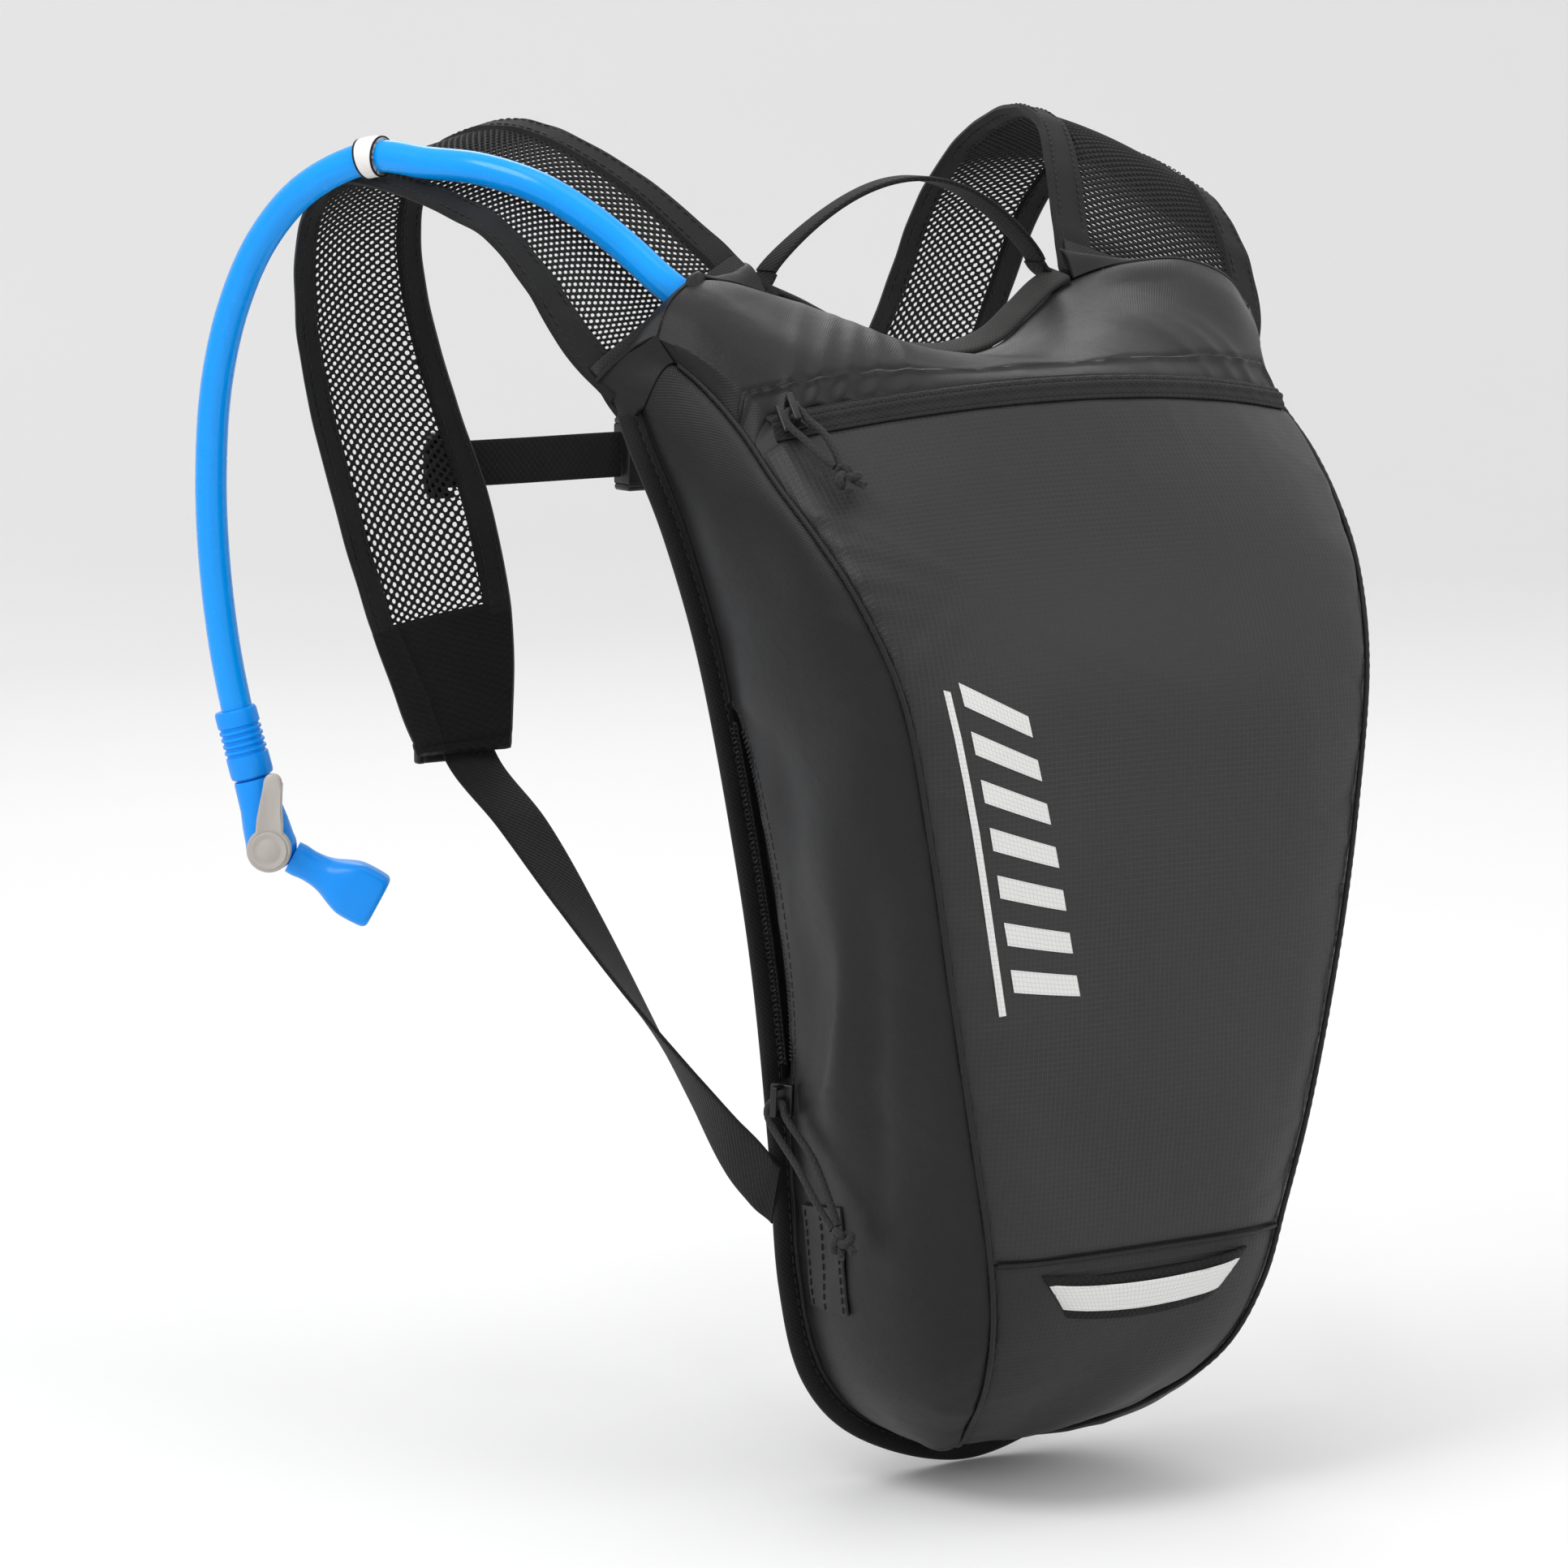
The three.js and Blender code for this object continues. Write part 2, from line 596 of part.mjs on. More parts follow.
function leverOutline() {
  const shape = new THREE.Shape();
  shape.absarc(0, 0, 7, radians(140), radians(400), false);
  shape.lineTo(3.6, LEVER_REACH - 3);
  shape.absarc(1, LEVER_REACH - 2.6, 2.6, radians(0), radians(180), false);
  shape.lineTo(-4.2, 12);
  shape.closePath();
  return shape;
}

function leverGeometry() {
  const options = { depth: LEVER_THICK, bevelEnabled: false, curveSegments: 8 };
  const geometry = new THREE.ExtrudeGeometry(leverOutline(), options);
  geometry.rotateZ(LEVER_TILT);
  const frame = new THREE.Matrix4().makeBasis(ACROSS, vec(0, 0, 1), FACING);
  geometry.applyMatrix4(frame);
  const face = hub.clone().addScaledVector(FACING, HUB_RADIUS + GAP);
  geometry.translate(face.x, face.y, face.z);
  return geometry;
}

add('valve_lever', leverGeometry(), valveGrey);

// ---------------------------------------------------------------- lower straps

// Middle of the left lower webbing, from above the ladder lock down to the taped edge: [x, y, height].
const lowerRoute = splineOf([
  [78.5, 168.6, 240], [77.5, 167.2, 224], [74, 163.5, 208], [71.5, 139, 190], [71.5, 107, 165.5],
  [73, 70, 138.5], [75, 38, 117.5], [76.5, 17, 104.5], [76.5, 5, 98],
]);
const TWIST_FROM = 0.3;
const TWIST_TO = 0.95;

function lowerWebbing(side) {
  const centre = (u) => mirrored(lowerRoute.getPoint(u), side);
  const across = (u) => {
    const k = THREE.MathUtils.smoothstep(u, TWIST_FROM, TWIST_TO);
    const ahead = lowerRoute.getPoint(Math.min(u + 0.01, 1)).sub(lowerRoute.getPoint(Math.max(u - 0.01, 0)));
    const flat = vec(1, 0, 0).applyAxisAngle(ahead.normalize(), radians(90 * k));
    return mirrored(flat, side);
  };
  return band(centre, across, WEBBING, WEBBING_THICK, 18);
}

const LOCK_HEIGHT = 217; // of the ladder lock's middle
const LOCK_SIZE = [27, 20, 3.2];
const LOCK_BAR = 3.2;

// A flat frame with a middle bar, standing in the XZ plane with its wearer side at z = 0.
function ladderLockGeometry() {
  const [width, height, thick] = LOCK_SIZE;
  const window = (low, high) => {
    const size = [width - 2 * LOCK_BAR, high - low, 2 * thick];
    return solid(block([0, (low + high) / 2, thick / 2], size));
  };
  const half = height / 2;
  const frame = solid(block([0, 0, thick / 2], LOCK_SIZE));
  const cut = frame.subtract(window(LOCK_BAR / 2, half - LOCK_BAR)).subtract(window(LOCK_BAR - half, -LOCK_BAR / 2));
  const geometry = geometryOf(cut);
  geometry.rotateX(Math.PI / 2);
  geometry.rotateZ(Math.PI);
  return geometry;
}

for (const [label, side] of [['left', -1], ['right', 1]]) {
  add(`${label}_lower_webbing`, lowerWebbing(side), webbing);
  const lock = add(`${label}_ladder_lock`, ladderLockGeometry(), plastic);
  lock.position.set(side * 77.5, 168.8, LOCK_HEIGHT);
}

// ---------------------------------------------------------------- sternum strap

const STERNUM_HEIGHT = 302;
const STERNUM_DEPTH = 173.2; // in front of the chest parts of both straps
const BUCKLE_HALF = 12;
const BUCKLE_THICK = 9;
const FEMALE_FROM = -9;
const FEMALE_TO = 16;
const MALE_BASE = 12;
const TONGUE = 17;
const SLIDE_AT = 79; // of the loops that the webbing passes under, from the middle

function level(name, from, to, high, thick, look) {
  const size = [to - from, thick, high];
  return add(name, block([(from + to) / 2, STERNUM_DEPTH, STERNUM_HEIGHT], size), look);
}

level('sternum_webbing_left', -SLIDE_AT - 6, FEMALE_FROM - GAP, STERNUM_WEBBING, WEBBING_THICK, webbing);
level('sternum_webbing_right', FEMALE_TO + 1 + MALE_BASE + GAP, SLIDE_AT + 6, STERNUM_WEBBING, WEBBING_THICK, webbing);

function femaleBuckle() {
  const middle = [(FEMALE_FROM + FEMALE_TO) / 2, STERNUM_DEPTH, STERNUM_HEIGHT];
  const size = [FEMALE_TO - FEMALE_FROM, BUCKLE_THICK, 2 * BUCKLE_HALF];
  const hollow = block([FEMALE_TO - 9, STERNUM_DEPTH, STERNUM_HEIGHT], [20, 5.4, 19]);
  return geometryOf(solid(block(middle, size)).subtract(solid(hollow)));
}

function maleBuckle() {
  const from = FEMALE_TO + 1;
  const base = block([from + MALE_BASE / 2, STERNUM_DEPTH, STERNUM_HEIGHT], [MALE_BASE, BUCKLE_THICK, 2 * BUCKLE_HALF]);
  let buckle = solid(base);
  for (const [height, width] of [[-6.5, 4], [0, 4], [6.5, 4]]) {
    const tongue = block([from - TONGUE / 2 + 1, STERNUM_DEPTH, STERNUM_HEIGHT + height], [TONGUE + 2, 4, width]);
    buckle = buckle.add(solid(tongue));
  }
  return geometryOf(buckle);
}

add('sternum_buckle_female', femaleBuckle(), plastic);
add('sternum_buckle_male', maleBuckle(), plastic);

// Loops on the straps' outer faces that the sternum webbing passes under.
for (const [label, side] of [['left', -1], ['right', 1]]) {
  const bridge = block([side * SLIDE_AT, STERNUM_DEPTH, STERNUM_HEIGHT], [8, 5.2, 21]);
  const way = block([side * SLIDE_AT, STERNUM_DEPTH - 0.8, STERNUM_HEIGHT], [10, 4.2, 17]);
  add(`sternum_keeper_${label}`, geometryOf(solid(bridge).subtract(solid(way))), plastic);
}

// ---------------------------------------------------------------- side pocket, left

const ZIP_TAPE = 4.5;

// A strip on the left gusset's surface: from and to are distances from the taped edge, in mm.
function gussetStrip(name, from, to, low, high, look, s0, s1, steps) {
  const surface = (u, v) => {
    const s = mix(s0, s1, u);
    const reach = edgePoint(s, BINDING_WIDTH).distanceTo(seamLine.getPointAt(s)) * 1.12;
    return gussetSurface(s, mix(from(s), to(s), v) / reach, -1);
  };
  add(name, sheet(surface, steps, 1, low, high), look);
}

const mouthEdge = (s) => gussetStart(s, -1) * 105;
gussetStrip('side_zip_tape_rear', () => 0.6, () => 3, 0.3, 1.3, zipCoil, POCKET_FROM + 0.015, POCKET_TO - 0.015, 12);
gussetStrip(
  'side_zip_tape_front',
  (s) => mouthEdge(s) - 0.5,
  (s) => mouthEdge(s) + ZIP_TAPE,
  -1.5, -0.4, tape, POCKET_FROM + 0.02, POCKET_TO - 0.02, 12,
);

// The pocket's lining: a thin channel behind the mouth, open towards the gusset.
const LINING = 1;
const POCKET_LOW = 112;
const POCKET_HIGH = 242;
const POCKET_DEEP = 15;
const POCKET_LONG = 58;

// Half width of the back's inner edge at a height, by stepping along the edge line.
function halfWidth(height) {
  let s = 0.2;
  while (s < 0.98 && edgePoint(s, BINDING_WIDTH).z < height) {
    s += 0.002;
  }
  return edgePoint(s, BINDING_WIDTH).x;
}

function pocketChannel() {
  const profile = (inset, high) => {
    const back = -3.8 - inset;
    const front = -3.8 - POCKET_LONG + inset;
    const deep = POCKET_DEEP + 2.5 - inset;
    const rim = 3;
    return (j) => [[rim, back], [deep, back], [deep, front], [rim, front]][j].concat(high);
  };
  const steps = 8;
  const grid = (inset) => (i, j) => {
    const height = mix(POCKET_LOW, POCKET_HIGH, i / steps);
    const [x, y] = profile(inset, height)(j);
    return vec(x - halfWidth(height), y, height);
  };
  return between(grid(0), grid(LINING), steps, 3);
}

add('side_pocket_lining', pocketChannel(), lining);

const pocketFloor = [POCKET_DEEP - 1, POCKET_LONG - 2 * LINING - 1, LINING];
const floorX = -halfWidth(POCKET_LOW + 2) + 3 + (POCKET_DEEP - 1) / 2;
const floorAt = [floorX - 1, -3.8 - POCKET_LONG / 2, POCKET_LOW + 1.5];
add('side_pocket_floor', block(floorAt, pocketFloor), lining);

// The stitched reinforcement low on the left gusset.
gussetStrip('side_patch', () => 10, () => 34, -2.4, -1.4, sideCloth, 0.262, 0.345, 5);

// ---------------------------------------------------------------- light loop

const LOOP_TOP = 36.5; // half widths of its two edges
const LOOP_FOOT = 30;
const LOOP_HIGH = 74;
const LOOP_LOW = 66;
const LOOP_SAG = 2.5;

// Depth of the lower front panel at a place on it.
function frontDepth(x, height) {
  let s = 0.02;
  while (s < SEAM_LOWER && seamLine.getPointAt(s).z < height) {
    s += 0.002;
  }
  const seam = seamLine.getPointAt(s);
  const v = (s - 0.012) / (SEAM_LOWER - 0.016);
  const k = Math.min(Math.abs(x) / seam.x, 1);
  return seam.y - FRONT_CROWN * v * (1 - k ** 5);
}

function loopSurface(u, v) {
  const x = mix(-1, 1, u) * mix(LOOP_TOP, LOOP_FOOT, v);
  const height = mix(LOOP_HIGH, LOOP_LOW, v) - LOOP_SAG * (1 - (2 * u - 1) ** 2);
  return vec(x, frontDepth(x, height), height);
}

function lightLoop(low, high) {
  const columns = 10;
  const grid = (out) => (i, j) => {
    const p = loopSurface(i / columns, j);
    p.y -= out;
    return p;
  };
  return between(grid(low), grid(high), columns, 1);
}

add('light_loop', lightLoop(1.6, 2.8), reflective);

// ---------------------------------------------------------------- inside the pack

const BAG_BACK = -10.4;
const BAG_FRONT = -45;
const BAG_LOW = 34;
const BAG_HIGH = 296;
const BAG_MIDDLE = 3;
const BAG_HALF = 50;

// The filled bladder: a flat pillow whose front and back round off towards its edges.
function bagGeometry() {
  const columns = 8;
  const rows = 8;
  const rounded = (k) => (1 - Math.abs(k) ** 4) ** 0.5;
  const grid = (depth) => (i, j) => {
    const x = mix(-1, 1, i / columns);
    const k = mix(-1, 1, j / rows);
    const full = 0.12 + 0.88 * rounded(x) * rounded(k);
    const middle = (BAG_BACK + BAG_FRONT) / 2;
    const half = BAG_HALF * (1 - 0.16 * k ** 4) * (0.9 + 0.1 * k);
    return vec(BAG_MIDDLE + x * half, mix(middle, depth, full), mix(BAG_LOW, BAG_HIGH, (k + 1) / 2));
  };
  return between(grid(BAG_BACK), grid(BAG_FRONT), columns, rows);
}

add('reservoir_bag', bagGeometry(), bladder);

const CAP_HEIGHT = 236;
const CAP_RADIUS = 33;
const capFoot = vec(12, BAG_FRONT - GAP, CAP_HEIGHT);
const FORWARD = vec(0, -1, 0);
const collar = [[0, 0], [CAP_RADIUS - 2, 0], [CAP_RADIUS - 2, 3], [26, 3], [26, 8], [0, 8]];
add('reservoir_collar', turned(collar, capFoot, FORWARD), capBlue);
const capProfile = [
  [0, 8.5], [26.5, 8.5], [26.5, 3.5], [CAP_RADIUS, 3.5], [CAP_RADIUS, 11], [CAP_RADIUS - 2, 12.5], [0, 12.5],
];
add('reservoir_cap', turned(capProfile, capFoot, FORWARD), capBlue);
add('cap_handle', block([12, capFoot.y - 15.4, CAP_HEIGHT], [56, 5, 7]), capBlue);

// The tube's quick connector: socket on the bladder, plug on the tube and a release button.
add('connector_socket', block([CONNECTOR.x, CONNECTOR.y + 2, CONNECTOR.z], [17, 11, 18]), capBlue);
add('connector_plug', turned([[0, 0], [6.5, 0], [6.5, 12], [5, 14.5], [0, 14.5]],
  vec(CONNECTOR.x, CONNECTOR.y, CONNECTOR.z + 9 + GAP), vec(0, 0, 1)), plastic);
const button = turned([[0, 0], [5, 0], [5, 3.5], [4, 4.5], [0, 4.5]],
  vec(CONNECTOR.x, CONNECTOR.y - 3.5 - GAP - 1.6, CONNECTOR.z), FORWARD);
add('connector_button', button, plastic);

// The sheet between the reservoir's sleeve and the front pocket.
function dividerGeometry() {
  const columns = 6;
  const rows = 6;
  const grid = (depth) => (i, j) => {
    const height = mix(60, 262, j / rows);
    const half = Math.min(halfWidth(height) - 20, 74);
    return vec(mix(-half, half, i / columns), depth, height);
  };
  return between(grid(-66.5), grid(-67.7), columns, rows);
}

add('divider', dividerGeometry(), lining);

// ---------------------------------------------------------------- zip sliders and cord pulls

// A slider: a flat body with a raised bridge that the cord passes through.
function sliderGeometry() {
  const base = solid(block([0, 0, 1.1], [7.5, 9.6, 2.2]));
  const bridge = solid(block([0, 0, 4.8], [2.2, 9.6, 5.6]));
  const eye = solid(block([0, 0, EYE], [6, 7.8, 4.2]));
  return geometryOf(base.add(bridge).subtract(eye));
}

const CORD_PULL = 1.3; // radius of the pulls' cord
const KNOT = 4.2;
const PULL_SPREAD = 4.4;
const EYE = 5; // height of the slider's eye above its foot

function knotGeometry() {
  const profile = [];
  for (let k = 0; k <= 6; k += 1) {
    const angle = mix(-Math.PI / 2, Math.PI / 2, k / 6);
    profile.push([k === 0 || k === 6 ? 0 : KNOT * Math.cos(angle), 1.25 * KNOT * Math.sin(angle)]);
  }
  return turned(profile, vec(0, 0, 0), vec(0, -1, 0), 10);
}

// A slider that stands on the cloth at `at`, and its cord pull hanging to a knot at `knotAt`.
function zipPull(name, at, up, out, knotAt) {
  const frame = new THREE.Matrix4().makeBasis(up.clone().cross(out), up, out).setPosition(at);
  add(`${name}_slider`, sliderGeometry().applyMatrix4(frame), zipMetal);

  const eye = vec(0, 0, EYE).applyMatrix4(frame);
  const down = knotAt.clone().sub(eye).normalize();
  const across = out.clone().cross(down).normalize();
  const length = eye.distanceTo(knotAt) - 1.25 * KNOT - GAP;
  const half = (side) => [
    eye.clone().addScaledVector(down, length).addScaledVector(across, side * PULL_SPREAD * 0.4),
    eye.clone().addScaledVector(down, 0.55 * length).addScaledVector(across, side * PULL_SPREAD),
    vec(side * 3.2, -4, EYE).applyMatrix4(frame),
    vec(side * 1.7, -0.4, EYE).applyMatrix4(frame),
  ];
  add(`${name}_pull_cord`, cord([...half(1), ...half(-1).reverse()], CORD_PULL, 6, 22), cordBlack);

  const knot = knotGeometry();
  knot.applyQuaternion(new THREE.Quaternion().setFromUnitVectors(vec(0, -1, 0), down));
  knot.translate(knotAt.x, knotAt.y, knotAt.z);
  add(`${name}_pull_knot`, knot, cordBlack);
}

const FRONT_PULL_ANGLE = -22;
const frontAt = zipPoint(FRONT_PULL_ANGLE, 0.5);
const frontOut = vec(0, -0.75, 0.66).applyAxisAngle(zipAxis, radians(FRONT_PULL_ANGLE));
const frontAlong = vec(1, 0, 0).applyAxisAngle(zipAxis, radians(FRONT_PULL_ANGLE));
frontAt.addScaledVector(frontOut, 1.4);
const frontKnot = frontSurface(0.052, 0.92).addScaledVector(frontOut, KNOT + 2);
zipPull('front_zip', frontAt, frontOut.clone().cross(frontAlong), frontOut, frontKnot);

const SIDE_PULL_S = 0.43;
const sideAt = gussetSurface(SIDE_PULL_S, 0.05, -1);
const sideOut = vec(-0.88, -0.47, 0);
const sideUp = vec(0.1, 0, 0.995).addScaledVector(sideOut, 0.088).normalize();
sideAt.addScaledVector(sideOut, 6.1);
const sideKnot = gussetSurface(0.324, 0.41, -1).addScaledVector(sideOut, KNOT + 4.2);
zipPull('side_zip', sideAt, sideUp, sideOut, sideKnot);

export default pack;
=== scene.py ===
"""Looks of a small hydration pack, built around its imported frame.

Shapes are laid out in millimetres with their height above the pack's lowest point, as in the CAD
source, and turned into metres of the shared frame when a mesh is made.
"""

import math

import bmesh
import bpy
import numpy as np
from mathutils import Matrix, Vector


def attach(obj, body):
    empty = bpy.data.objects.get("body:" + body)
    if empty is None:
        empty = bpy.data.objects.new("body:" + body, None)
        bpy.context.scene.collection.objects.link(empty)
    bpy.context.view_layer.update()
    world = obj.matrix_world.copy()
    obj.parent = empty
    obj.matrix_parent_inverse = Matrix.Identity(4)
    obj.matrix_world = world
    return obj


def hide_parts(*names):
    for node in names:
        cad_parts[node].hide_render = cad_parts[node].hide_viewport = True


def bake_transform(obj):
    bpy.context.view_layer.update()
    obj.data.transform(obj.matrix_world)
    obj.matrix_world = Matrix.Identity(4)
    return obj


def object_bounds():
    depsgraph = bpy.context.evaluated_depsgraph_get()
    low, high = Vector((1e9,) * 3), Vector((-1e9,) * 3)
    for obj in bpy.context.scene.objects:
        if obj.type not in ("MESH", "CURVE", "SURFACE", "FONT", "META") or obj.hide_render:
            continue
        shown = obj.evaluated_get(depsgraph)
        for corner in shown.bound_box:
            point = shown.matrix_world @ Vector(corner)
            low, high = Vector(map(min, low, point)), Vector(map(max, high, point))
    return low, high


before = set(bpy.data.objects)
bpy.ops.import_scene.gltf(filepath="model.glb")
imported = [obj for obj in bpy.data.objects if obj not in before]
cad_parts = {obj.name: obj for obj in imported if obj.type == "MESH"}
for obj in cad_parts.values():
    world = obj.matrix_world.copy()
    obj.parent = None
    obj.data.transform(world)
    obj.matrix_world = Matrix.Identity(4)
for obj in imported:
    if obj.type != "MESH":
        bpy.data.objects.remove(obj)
cad_box = [list(corner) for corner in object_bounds()]

BASE = 120.0  # height of the frame's origin above the pack's lowest point
GAP = 0.4  # clearance between neighbours
CLOTH = 1.2  # thickness of the bag's cloth
SIDES = (("left", -1), ("right", 1))

# ------------------------------------------------------------------ camera and light

CAMERA_AZIMUTH = math.radians(-36)
CAMERA_ELEVATION = math.radians(7.7)
CAMERA_DISTANCE = 2.2
CAMERA_AIM = np.array([-0.0453, 0.0329, 0.092])
LENS = 163.98


def direction(azimuth, elevation):
    flat = math.cos(elevation)
    return np.array([math.sin(azimuth) * flat, -math.cos(azimuth) * flat, math.sin(elevation)])


def aimed(obj, place, target):
    obj.location = Vector(place)
    obj.rotation_mode = "QUATERNION"
    obj.rotation_quaternion = (Vector(target) - Vector(place)).to_track_quat("-Z", "Y")
    bpy.context.scene.collection.objects.link(obj)


camera = bpy.data.objects.new("camera", bpy.data.cameras.new("camera"))
camera.data.lens = LENS
camera.data.sensor_width = 36
camera.data.clip_end = 50
aimed(camera, CAMERA_AIM + CAMERA_DISTANCE * direction(CAMERA_AZIMUTH, CAMERA_ELEVATION), CAMERA_AIM)
bpy.context.scene.camera = camera
bpy.context.scene.view_settings.view_transform = "Standard"


def area_light(name, azimuth, elevation, distance, size, power, color=(1, 1, 1)):
    data = bpy.data.lights.new(name, "AREA")
    data.shape = "DISK"
    data.size = size
    data.energy = power
    data.color = color
    light = bpy.data.objects.new(name, data)
    way = direction(math.radians(azimuth), math.radians(elevation))
    target = np.array([0.0, 0.03, 0.09])
    aimed(light, target + distance * way, target)


area_light("key", -80, 50, 1.9, 0.9, 13)
area_light("fill", 25, 22, 2.2, 1.2, 8)
area_light("top", 10, 80, 1.8, 1.2, 4)
area_light("rim", 150, 35, 2.0, 1.0, 5)

world = bpy.data.worlds.new("studio")
world.use_nodes = True
world.node_tree.nodes["Background"].inputs["Color"].default_value = (1, 1, 1, 1)
world.node_tree.nodes["Background"].inputs["Strength"].default_value = 0.9
bpy.context.scene.world = world

# ------------------------------------------------------------------ curves


class Spline:
    """Curve through points: centripetal in space, uniform in the plane, by parameter or length."""

    def __init__(self, points, table=400):
        self.points = np.asarray(points, float)
        self.flat = self.points.shape[1] == 2
        t = np.linspace(0, 1, table + 1)
        steps = np.linalg.norm(np.diff(self.point(t), axis=0), axis=1)
        self.length = steps.sum()
        self.table_t = t
        self.table_s = np.concatenate([[0], np.cumsum(steps)]) / self.length

    def point(self, t):
        t = np.asarray(t, float)
        pts, n = self.points, len(self.points)
        at = np.clip(t, 0, 1) * (n - 1)
        i = np.minimum(at.astype(int), n - 2)
        w = (at - i)[..., None]
        first = pts[0] if self.flat else 2 * pts[0] - pts[1]
        last = pts[-1] if self.flat else 2 * pts[-1] - pts[-2]
        p0 = np.where((i > 0)[..., None], pts[np.maximum(i - 1, 0)], first)
        p1, p2 = pts[i], pts[i + 1]
        p3 = np.where((i + 2 < n)[..., None], pts[np.minimum(i + 2, n - 1)], last)
        if self.flat:
            m1, m2 = (p2 - p0) / 2, (p3 - p1) / 2
        else:
            spans = ((p0, p1), (p1, p2), (p2, p3))
            d0, d1, d2 = (np.sqrt(np.linalg.norm(b - a, axis=-1))[..., None] for a, b in spans)
            m1 = ((p1 - p0) / d0 - (p2 - p0) / (d0 + d1) + (p2 - p1) / d1) * d1
            m2 = ((p2 - p1) / d1 - (p3 - p1) / (d1 + d2) + (p3 - p2) / d2) * d1
        c2 = -3 * p1 + 3 * p2 - 2 * m1 - m2
        c3 = 2 * p1 - 2 * p2 + m1 + m2
        return p1 + m1 * w + c2 * w**2 + c3 * w**3

    def at(self, s):
        return self.point(np.interp(np.asarray(s, float), self.table_s, self.table_t))

    def tangent(self, s, step=1e-3):
        s = np.asarray(s, float)
        d = self.at(np.minimum(s + step, 1)) - self.at(np.maximum(s - step, 0))
        return d / np.linalg.norm(d, axis=-1)[..., None]


def travelled(path):
    """Distance along a path at each of its points."""
    return np.concatenate([[0], np.cumsum(np.linalg.norm(np.diff(path, axis=0), axis=1))])


def circle(count):
    return np.linspace(0, 2 * np.pi, count, endpoint=False)


def unit(a):
    a = np.asarray(a, float)
    return a / np.maximum(np.linalg.norm(a, axis=-1)[..., None], 1e-12)


def mix(a, b, k):
    return a + (b - a) * k


def smoothstep(k, low=0.0, high=1.0):
    k = np.clip((np.asarray(k, float) - low) / (high - low), 0, 1)
    return k * k * (3 - 2 * k)


def hill(value, place, width):
    return np.exp(-(((value - place) / width) ** 2))


def rotated(p, axis, angle):
    """Points turned about an axis through the origin, angle in radians (a number or an array)."""
    p, axis = np.asarray(p, float), np.asarray(axis, float)
    angle = np.asarray(angle, float)[..., None]
    along = (p @ axis)[..., None] * axis
    return along + np.cos(angle) * (p - along) + np.sin(angle) * np.cross(np.broadcast_to(axis, p.shape), p)


def ripple(a, b, seed, wave, count=7):
    """Smooth noise from a few plane waves, about -1 to 1, with crests about `wave` apart."""
    rng = np.random.default_rng(seed)
    total = np.zeros(np.broadcast(a, b).shape)
    for _ in range(count):
        turn, shift, stretch = rng.uniform(0, 2 * np.pi), rng.uniform(0, 2 * np.pi), rng.uniform(0.7, 1.5)
        total += np.sin(2 * np.pi * (a * np.cos(turn) + b * np.sin(turn)) / (wave * stretch) + shift)
    return total / math.sqrt(count) / 1.2


# ------------------------------------------------------------------ mesh building


def metres(p):
    p = np.asarray(p, float) * 0.001
    p[..., 2] -= BASE * 0.001
    return p


def finish_mesh(name, parts, material, body, nodes=(), sharp=50):
    """A piece from its vertices, faces and cloth coordinates; it rides no body where body is None."""
    verts, faces, uv = parts
    mesh = bpy.data.meshes.new(name)
    mesh.from_pydata(metres(verts).reshape(-1, 3).tolist(), [], [list(map(int, f)) for f in faces])
    mesh.validate()
    layer = mesh.uv_layers.new(name="cloth")
    index = np.zeros(len(mesh.loops), int)
    mesh.loops.foreach_get("vertex_index", index)
    layer.data.foreach_set("uv", np.asarray(uv, np.float32).reshape(-1, 2)[index].ravel())
    mesh.polygons.foreach_set("use_smooth", [True] * len(mesh.polygons))
    if sharp:
        mesh.set_sharp_from_angle(angle=math.radians(sharp))
    mesh.materials.append(material)
    obj = bpy.data.objects.new(name, mesh)
    bpy.context.scene.collection.objects.link(obj)
    if body:
        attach(obj, body)
    if nodes:
        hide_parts(*nodes)
    return obj


def normals(grid):
    across = np.gradient(grid, axis=1)
    along = np.gradient(grid, axis=0)
    return unit(np.cross(along, across))


def normals_toward(grid, way):
    """Normals turned as a whole to the side that `way` points to."""
    n = normals(grid)
    return n * np.sign((n * np.asarray(way, float)).sum(-1).mean())


def agrees(grid, out_):
    """1 where the grid's own normals point along `out_`, or else -1."""
    return 1 if (normals(grid) * out_).sum() > 0 else -1


def apart(grid, line):
    """Distance of each place of a grid from one of its rows or columns."""
    return np.linalg.norm(grid - line, axis=2)


def lengths(grid):
    """Texture coordinates in millimetres: distance along rows and columns of a grid."""
    rows = np.zeros(grid.shape[:2])
    rows[1:] = np.cumsum(np.linalg.norm(np.diff(grid, axis=0), axis=2), axis=0)
    columns = np.zeros(grid.shape[:2])
    columns[:, 1:] = np.cumsum(np.linalg.norm(np.diff(grid, axis=1), axis=2), axis=1)
    middle = grid.shape[1] // 2
    centred = columns - columns[:, middle : middle + 1]
    return np.stack([centred, np.broadcast_to(rows[:, middle : middle + 1], rows.shape)], -1)


def grid_faces(rows, columns, offset=0, close=False):
    """Quads of a rows by columns grid; closed round its columns if asked."""
    i, j = np.meshgrid(np.arange(rows - 1), np.arange(columns if close else columns - 1), indexing="ij")
    nxt = (j + 1) % columns
    a, b = i * columns + j, i * columns + nxt
    c, d = (i + 1) * columns + nxt, (i + 1) * columns + j
    return (np.stack([a, b, c, d], -1) + offset).reshape(-1, 4)


